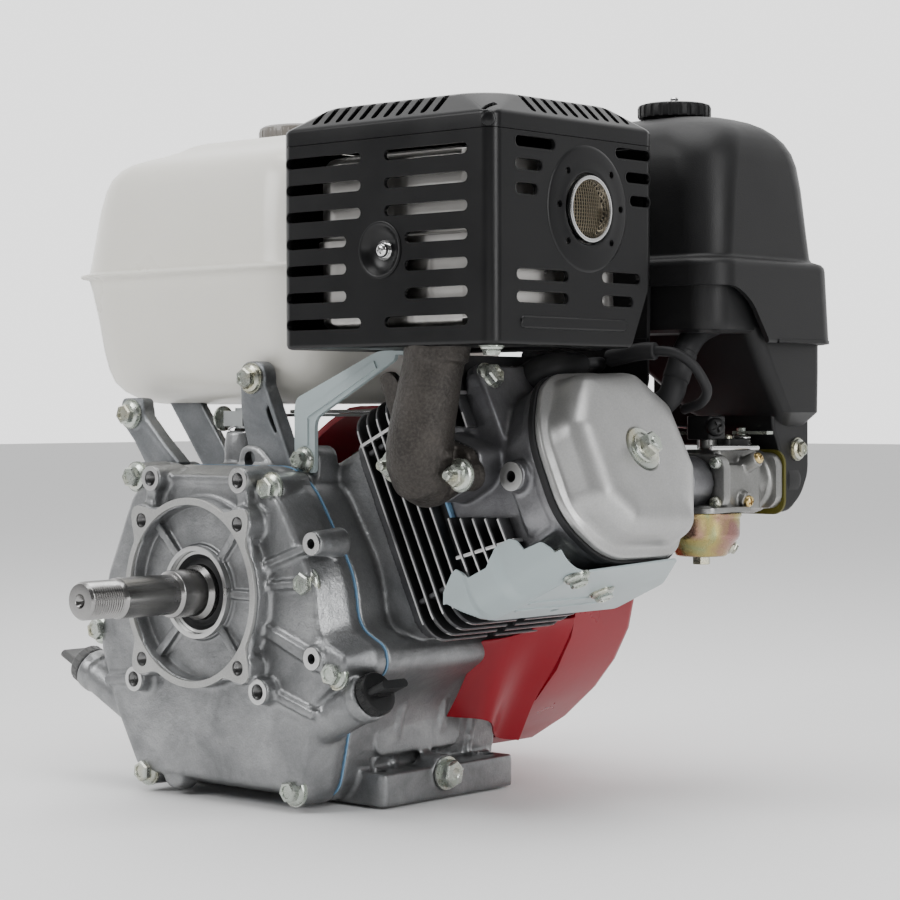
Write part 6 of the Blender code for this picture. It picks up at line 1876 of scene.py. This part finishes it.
def starter_grip_piece():
    x, d, z = GRIP
    ends = [(-34, -21.2, 4.5), (-32, -20, 6.5), (-24, -15, 8.6), (-14, -9, 9.2), (-6, -4, 8.6),
            (0, 0, 8.8), (6, 4, 8.6), (14, 9, 9.2), (24, 15, 8.6), (32, 20, 6.5),
            (34, 21.2, 4.5)]
    bar = tube_along([(x + a, d, z + b) for a, b, r in ends], [r for a, b, r in ends], 32)
    thing = add("grip_moulded", bar, BLACK_PLASTIC, "pull_grip", bevel=1.0, segments=3,
                replaces=["starter_grip"], angle=50.0)
    for i in range(7):
        a = -21 + 7 * i
        rib = tube_along([(x + a - 0.7, d, z + a * 0.62 - 0.45), (x + a + 0.7, d,
                                                                  z + a * 0.62 + 0.45)],
                         [9.7, 9.7], 32)
        add("grip_rib_%d" % i, rib, BLACK_PLASTIC, "pull_grip", bevel=0.4)


def lower_shroud_piece():
    """Pressed plate under the cylinder and head, with a stepped flap on the output side."""
    def plan(d, s, v):
        return bore(d, v, s)
    v = SHROUD_V
    plate = prism(rounded([(69, 172), (69, 247), (150, 257), (188, 214), (188, 172)], 4, 5),
                  v - 1.5, v, plan)
    hole = drum(3.2, v - 5, v + 5, plan, 116, 182, 24)
    dish = turned([(16, v - 0.4), (13, v + 1.6)], plan, 130, 214, 40)
    ribs = [prism(rounded_box(72, 150, 186 + 12 * i, 190 + 12 * i, 1.9, 4), v - 2.4, v - 0.6,
                  plan) for i in range(2)]
    curved_flap(v)
    thing = add("lower_plate", plate, PALE_BLUE, join=[dish, *ribs],
                cut=[hole], bevel=0.5, replaces=["lower_shroud"], segments=3, angle=30.0)
    seat = bore(130, v - 2.0, 210)
    hex_bolt("shroud_bolt", back_to_xdz(seat), UNDER_BORE, M6_HEAD,
             tall=5.5, spin=0.2)
    seat = bore(72, v - 1.6, 240)
    hex_bolt("shroud_bolt_front", back_to_xdz(seat), UNDER_BORE, M6_HEAD,
             tall=5.5, spin=0.6)


def curved_flap(floor_v):
    """The plate's front edge, rolled up in front of the fins, with two steps pressed in it."""
    crest = [(150, -72), (153, -66), (164, -58), (168, -57), (175, -64), (178, -66.5),
             (194, -66.5), (198, -63), (203, -57), (215, -57), (219, -60), (222, -67),
             (236, -68), (241, -74), (247, -86)]
    rows = []
    for s in [150.0 + 1.5 * i for i in range(66)]:
        crest_v = crest[-1][1]
        for (s0, v0), (s1, v1) in zip(crest, crest[1:]):
            if s0 <= s <= s1:
                crest_v = v0 + (v1 - v0) * (s - s0) / (s1 - s0)
        lowest = floor_v - 0.75 + max(0.0, 172.0 - s) * 1.02
        step_in = max(0.0, min(1.0, (s - 171.0) / 6.0)) * max(0.0, min(1.0, (204.0 - s) / 6.0))
        row = []
        for k in range(15):
            angle = radians(6.0 * k)
            d = 72.0 - 15.5 * sin(angle)
            v = floor_v - 0.75 + 15.5 * (1.0 - cos(angle))
            row.append((d, v))
        top_v = max(crest_v, row[-1][1] + 0.5)
        row += [(56.4, row[14][1] + (top_v - row[14][1]) * k / 6.0)
                for k in range(1, 7)]
        points = []
        for k, (d, v) in enumerate(row):
            lift = step_in * min(1.0, k / 9.0)
            points.append(back_to_xdz(bore(d - 3.6 * lift, max(v, min(lowest, top_v)), s)))
        rows.append(points)
    thing = pressed_sheet("shroud_flap", rows, 1.5, PALE_BLUE)


def back_to_xdz(point):
    """Undoes the shift of d that placing makes, in millimetres."""
    return point.x, point.y + FOOT_DEPTH, point.z


def stop_switch_piece():
    x, d, z = SWITCH
    base = turned([(17.4, d - 0.2), (17.6, d + 1.6), (16, d + 2.4)], front, x, z, 48)
    add("switch_bezel", base, BLACK_PLASTIC, bevel=0.2)
    body = turned([(15, d + 1), (15.6, d + 2.4), (15.4, d + 9.6), (13, d + 11.6)], front, x, z,
                  48)
    grip = prism(rounded_box(x - 3.4, x + 3.4, z - 13.6, z + 13.6, 3.2, 5), d + 10, d + 20,
                 front)
    flutes = notches(20, 16, 1.2, d, d + 14, front, x, z, 8)
    thing = add("switch_knob", body, SWITCH_RED, "stop_switch", join=[grip], cut=[flutes],
                bevel=0.5, replaces=["engine_switch"])


fan_housing_piece()
cooling_duct()
recoil_piece()
starter_grip_piece()
lower_shroud_piece()
stop_switch_piece()


# ---------------------------------------------------------------- cords, controls, inner parts

def cord_pieces():
    """Plug cap and lead, switch lead, breather and fuel hoses."""
    cap_v = PLUG_V
    points = [back_to_xdz(bore(CYLINDER_D, cap_v, s)) for s in (203, 216, 226)]
    points += [back_to_xdz(bore(CYLINDER_D + 2, cap_v + 0.4, 232)),
               back_to_xdz(bore(CYLINDER_D + 8, cap_v + 1, 236.2)),
               back_to_xdz(bore(CYLINDER_D + 20, cap_v + 2, 237)),
               back_to_xdz(bore(CYLINDER_D + 34, cap_v + 3, 237))]
    radii = [10.0, 10.6, 10.6, 10.8, 10.0, 8.0, 6.6]
    body = tube_along(points, radii, 32)
    well = drum(6.4, 190, 224, bore, CYLINDER_D, cap_v, 28)
    cap = add("plug_cap_moulded", body, BLACK_RUBBER, cut=[well], bevel=0.5,
              replaces=["spark_plug_cap"], angle=50.0)
    for i, s in enumerate((208, 213, 218)):
        band = ring(9.8, 11.3, s, s + 2.0, bore, CYLINDER_D, cap_v, 36)
        add("plug_cap_band_%d" % i, band, BLACK_RUBBER, bevel=0.4)
    out = bore(CYLINDER_D + 35, cap_v + 3, 237)
    x, d, z = back_to_xdz(out)
    hole_x, hole_d = LEAD_HOLE
    route = [(x, d, z), (x + 2, d + 16, z + 1), (x - 22, d + 32, z - 4), (x - 70, 190, z - 6),
             (hole_x + 14, 200, 266), (hole_x, hole_d, 256), (hole_x - 1, hole_d, 240),
             (hole_x - 8, hole_d + 1, 235.5), (hole_x - 22, hole_d + 4, 237.5),
             (34, hole_d + 6, 241), (17, hole_d + 8, 241)]
    lead = pipe("plug_lead", route, 3.5, BLACK_RUBBER)
    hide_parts("ignition_lead")
    grommet = turned([(7, 250.8), (7, 253.6), (5, 254.2)], top, *LEAD_HOLE, 28)
    add("lead_grommet", grommet, BLACK_RUBBER,
        cut=[drum(3.6, 245, 260, top, *LEAD_HOLE, 24)], bevel=0.4)
    hose = [(185, 185, 252), (212, 186, 246), (236, 188, 254), (240.5, 192, 268),
            (240.8, 200, 284), (240.5, 215, 297), (240, 240, 305)]
    hose_thing = pipe("breather_hose", hose, 8.0, BLACK_RUBBER, steps=24)
    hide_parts("breather_tube")
    loop = [(206, 168, 280), (228.8, 170, 284), (239.7, 172, 284.3), (251.2, 176, 282.9),
            (259.8, 182, 276.1), (263.8, 188, 266.2), (263.9, 192, 258.8), (256, 196, 252),
            (240, 200, 248)]
    loop_thing = pipe("switch_lead", loop, 3.2, BLACK_RUBBER)
    boot = pipe("switch_lead_boot", loop[:3], 5.6, BLACK_RUBBER)
    guard = prism(rounded([(118, 226), (118, 288), (222, 290), (222, 262), (196, 240),
                           (176, 226)], 6, 4), 187.0, 189.0, front)
    guard_thing = add("air_guard", guard, BLACK_PLASTIC, bevel=0.5)
    sleeve_route = [(240.4, 191, 266), (240.8, 195, 274), (240.8, 200, 284)]
    sleeve = pipe("hose_sleeve", sleeve_route, 8.5, BLACK_RUBBER, steps=24)
    fuel = [(203, 273, 190), (190, 262, 186), (160, 262, 196), (124, 268, 216),
            (88, 272, 232), (62, 274, 245.6), (40, 272, 254.5), (20, 262, 261), (6, 240, 256)]
    fuel_thing = pipe("fuel_hose", fuel, 4.2, BLACK_RUBBER)
    clip_loop = circle(5.2, 16, 190.0, 186.0)
    clip_points = [(x, 262, z) for x, z in clip_loop + clip_loop[:1]]
    clip = tube_along(clip_points, [0.8] * len(clip_points), 8)
    add("fuel_hose_clip", clip, BRIGHT)


def governor_detail():
    """Rod, spring, bush and clamp of the governor."""
    x, d = GOVERNOR
    rod_route = [(x + 3, d + 40, 247.4), (60, 150, 247.2), (150, 196, 246), (216, 222, 238),
                 (238, 222, 236.6)]
    rod = pipe("governor_rod", rod_route, 1.3, BRIGHT, steps=10)
    spring_points = []
    turns = 16
    for k in range(turns * 10 + 1):
        t = k / (turns * 10)
        a = 2 * pi * k / 10
        spring_points.append((20 + 60 * t, 176 + 44 * t + 3.2 * cos(a),
                              252.6 + 3.2 * sin(a)))
    spring = tube_along(spring_points, [SPRING_WIRE] * len(spring_points), 6)
    add("governor_spring", spring, BRIGHT, angle=60.0)
    node_look("governor_arm", PLATED, 0.3)
    hex_bolt("governor_clamp_bolt", (x - 15.0, d - 5, 243), (-1, 0, 0), M6_HEAD, "governor",
             tall=4.6)
    node_look("control_lever", BLACK_PLASTIC, 0.6)
    node_look("fuel_valve_lever", BLACK_PLASTIC, 0.6)
    bush = turned([(7.4, 214), (7.4, 222), (6.4, 223), (6.4, 236.5)], top, x, d, 36)
    thing = add("governor_bush", bush, IRON, bevel=0.3)
    wire = pipe("governor_wire_clip", [(x + 14, d - 5, 246), (x + 2, d - 8.4, 239),
                                       (x - 5, d - 8.6, 236.4), (x - 2, d - 8.6, 233.6),
                                       (x + 12, d - 7, 234)], 0.9, BRIGHT, steps=8)


def inner_nodes():
    """Parts seen only when the engine is opened keep their solids, with their materials."""
    looks = {
        "crank_gear": STEEL, "camshaft": STEEL, "front_bearing": BRIGHT,
        "rear_bearing": BRIGHT, "piston": ALU_EDGE, "gudgeon_pin": BRIGHT,
        "connecting_rod": ALU, "exhaust_valve": STEEL, "intake_valve": STEEL,
        "exhaust_rocker": BRIGHT, "intake_rocker": BRIGHT, "exhaust_pushrod": STEEL,
        "intake_pushrod": STEEL, "rocker_guide_plate": PLATED, "flywheel": IRON,
        "cooling_fan": BLACK_PLASTIC, "starter_cup": BLACK_PAINT,
        "starter_reel": BLACK_PLASTIC, "ignition_coil": BLACK_PLASTIC,
        "spark_plug": CERAMIC, "air_cleaner_element": PAPER,
    }
    for node, look in looks.items():
        node_look(node, look, 0.2)


cord_pieces()
governor_detail()
inner_nodes()


# ---------------------------------------------------------------- stage, light and camera

def soft_light(name, place, aim, size, power):
    """A rectangular lamp, turned towards the point it is aimed at."""
    light = bpy.data.lights.new(name, "AREA")
    light.shape = "RECTANGLE"
    light.size = size[0]
    light.size_y = size[1]
    light.energy = power
    thing = bpy.data.objects.new(name, light)
    thing.location = place
    thing.rotation_mode = "QUATERNION"
    thing.rotation_quaternion = (Vector(aim) - Vector(place)).to_track_quat("-Z", "Y")
    bpy.context.scene.collection.objects.link(thing)


WALL_DIM = 0.12
WALL_BRIGHT = 2.1
VIEWER_SIDE = (0.66, -0.75, 0.0)
FOCAL_LENGTH = 97.744
SENSOR_WIDTH = 36.0
CAMERA_PLACE = (1.148544, -1.165954, 0.247761)


def surround():
    """A studio wall that is bright behind the engine and dim on the viewer's side."""
    world = bpy.data.worlds.new("studio")
    world.use_nodes = True
    nodes = world.node_tree.nodes
    links = world.node_tree.links
    nodes["Background"].inputs["Color"].default_value = (1.0, 1.0, 1.0, 1.0)
    place = nodes.new("ShaderNodeNewGeometry")
    facing = nodes.new("ShaderNodeVectorMath")
    facing.operation = "DOT_PRODUCT"
    facing.inputs[1].default_value = VIEWER_SIDE
    spread = nodes.new("ShaderNodeMapRange")
    spread.inputs["From Min"].default_value = -0.1
    spread.inputs["From Max"].default_value = 0.8
    spread.inputs["To Min"].default_value = WALL_DIM
    spread.inputs["To Max"].default_value = WALL_BRIGHT
    links.new(place.outputs["Incoming"], facing.inputs[0])
    links.new(facing.outputs["Value"], spread.inputs["Value"])
    links.new(spread.outputs["Result"], nodes["Background"].inputs["Strength"])
    bpy.context.scene.world = world


def studio():
    """Large soft panels round the engine and a pale surround."""
    surround()
    middle = (0.0, 0.0, 0.22)
    soft_light("key_left", (-0.9, -1.9, 1.5), middle, (1.0, 1.0), 27.0)
    soft_light("strip_right", (2.0, -0.2, 0.9), middle, (0.5, 1.6), 22.0)
    soft_light("overhead", (0.1, -0.1, 1.9), middle, (1.4, 1.4), 26.0)
    soft_light("low_fill", (1.3, -1.7, 0.12), middle, (1.2, 0.3), 3.0)


def floor():
    """A pale floor just under the feet."""
    shape = bmesh.new()
    reach = 14.0
    for x, y in ((-reach, -reach), (reach, -reach), (reach, reach), (-reach, reach)):
        shape.verts.new((x, y, -0.0005))
    shape.faces.new(shape.verts)
    thing = as_mesh_object("floor", shape)
    look = Look("floor")
    look.set(base_color=(0.93, 0.93, 0.93), roughness=0.7)
    thing.data.materials.append(look.material)


def camera():
    """The engine seen from its output-shaft corner, level with its middle."""
    lens = bpy.data.cameras.new("camera")
    lens.lens = FOCAL_LENGTH
    lens.sensor_width = SENSOR_WIDTH
    lens.clip_end = 100.0
    thing = bpy.data.objects.new("camera", lens)
    right = Vector((0.747701, 0.664029, -0.002777))
    upward = Vector((-0.008620, 0.013888, 0.999866))
    forward = Vector((-0.663979, 0.747577, -0.016107))
    turn = Matrix((right, upward, -forward)).transposed()
    thing.matrix_world = Matrix.Translation(CAMERA_PLACE) @ turn.to_4x4()
    bpy.context.scene.collection.objects.link(thing)
    bpy.context.scene.camera = thing


studio()
floor()
camera()
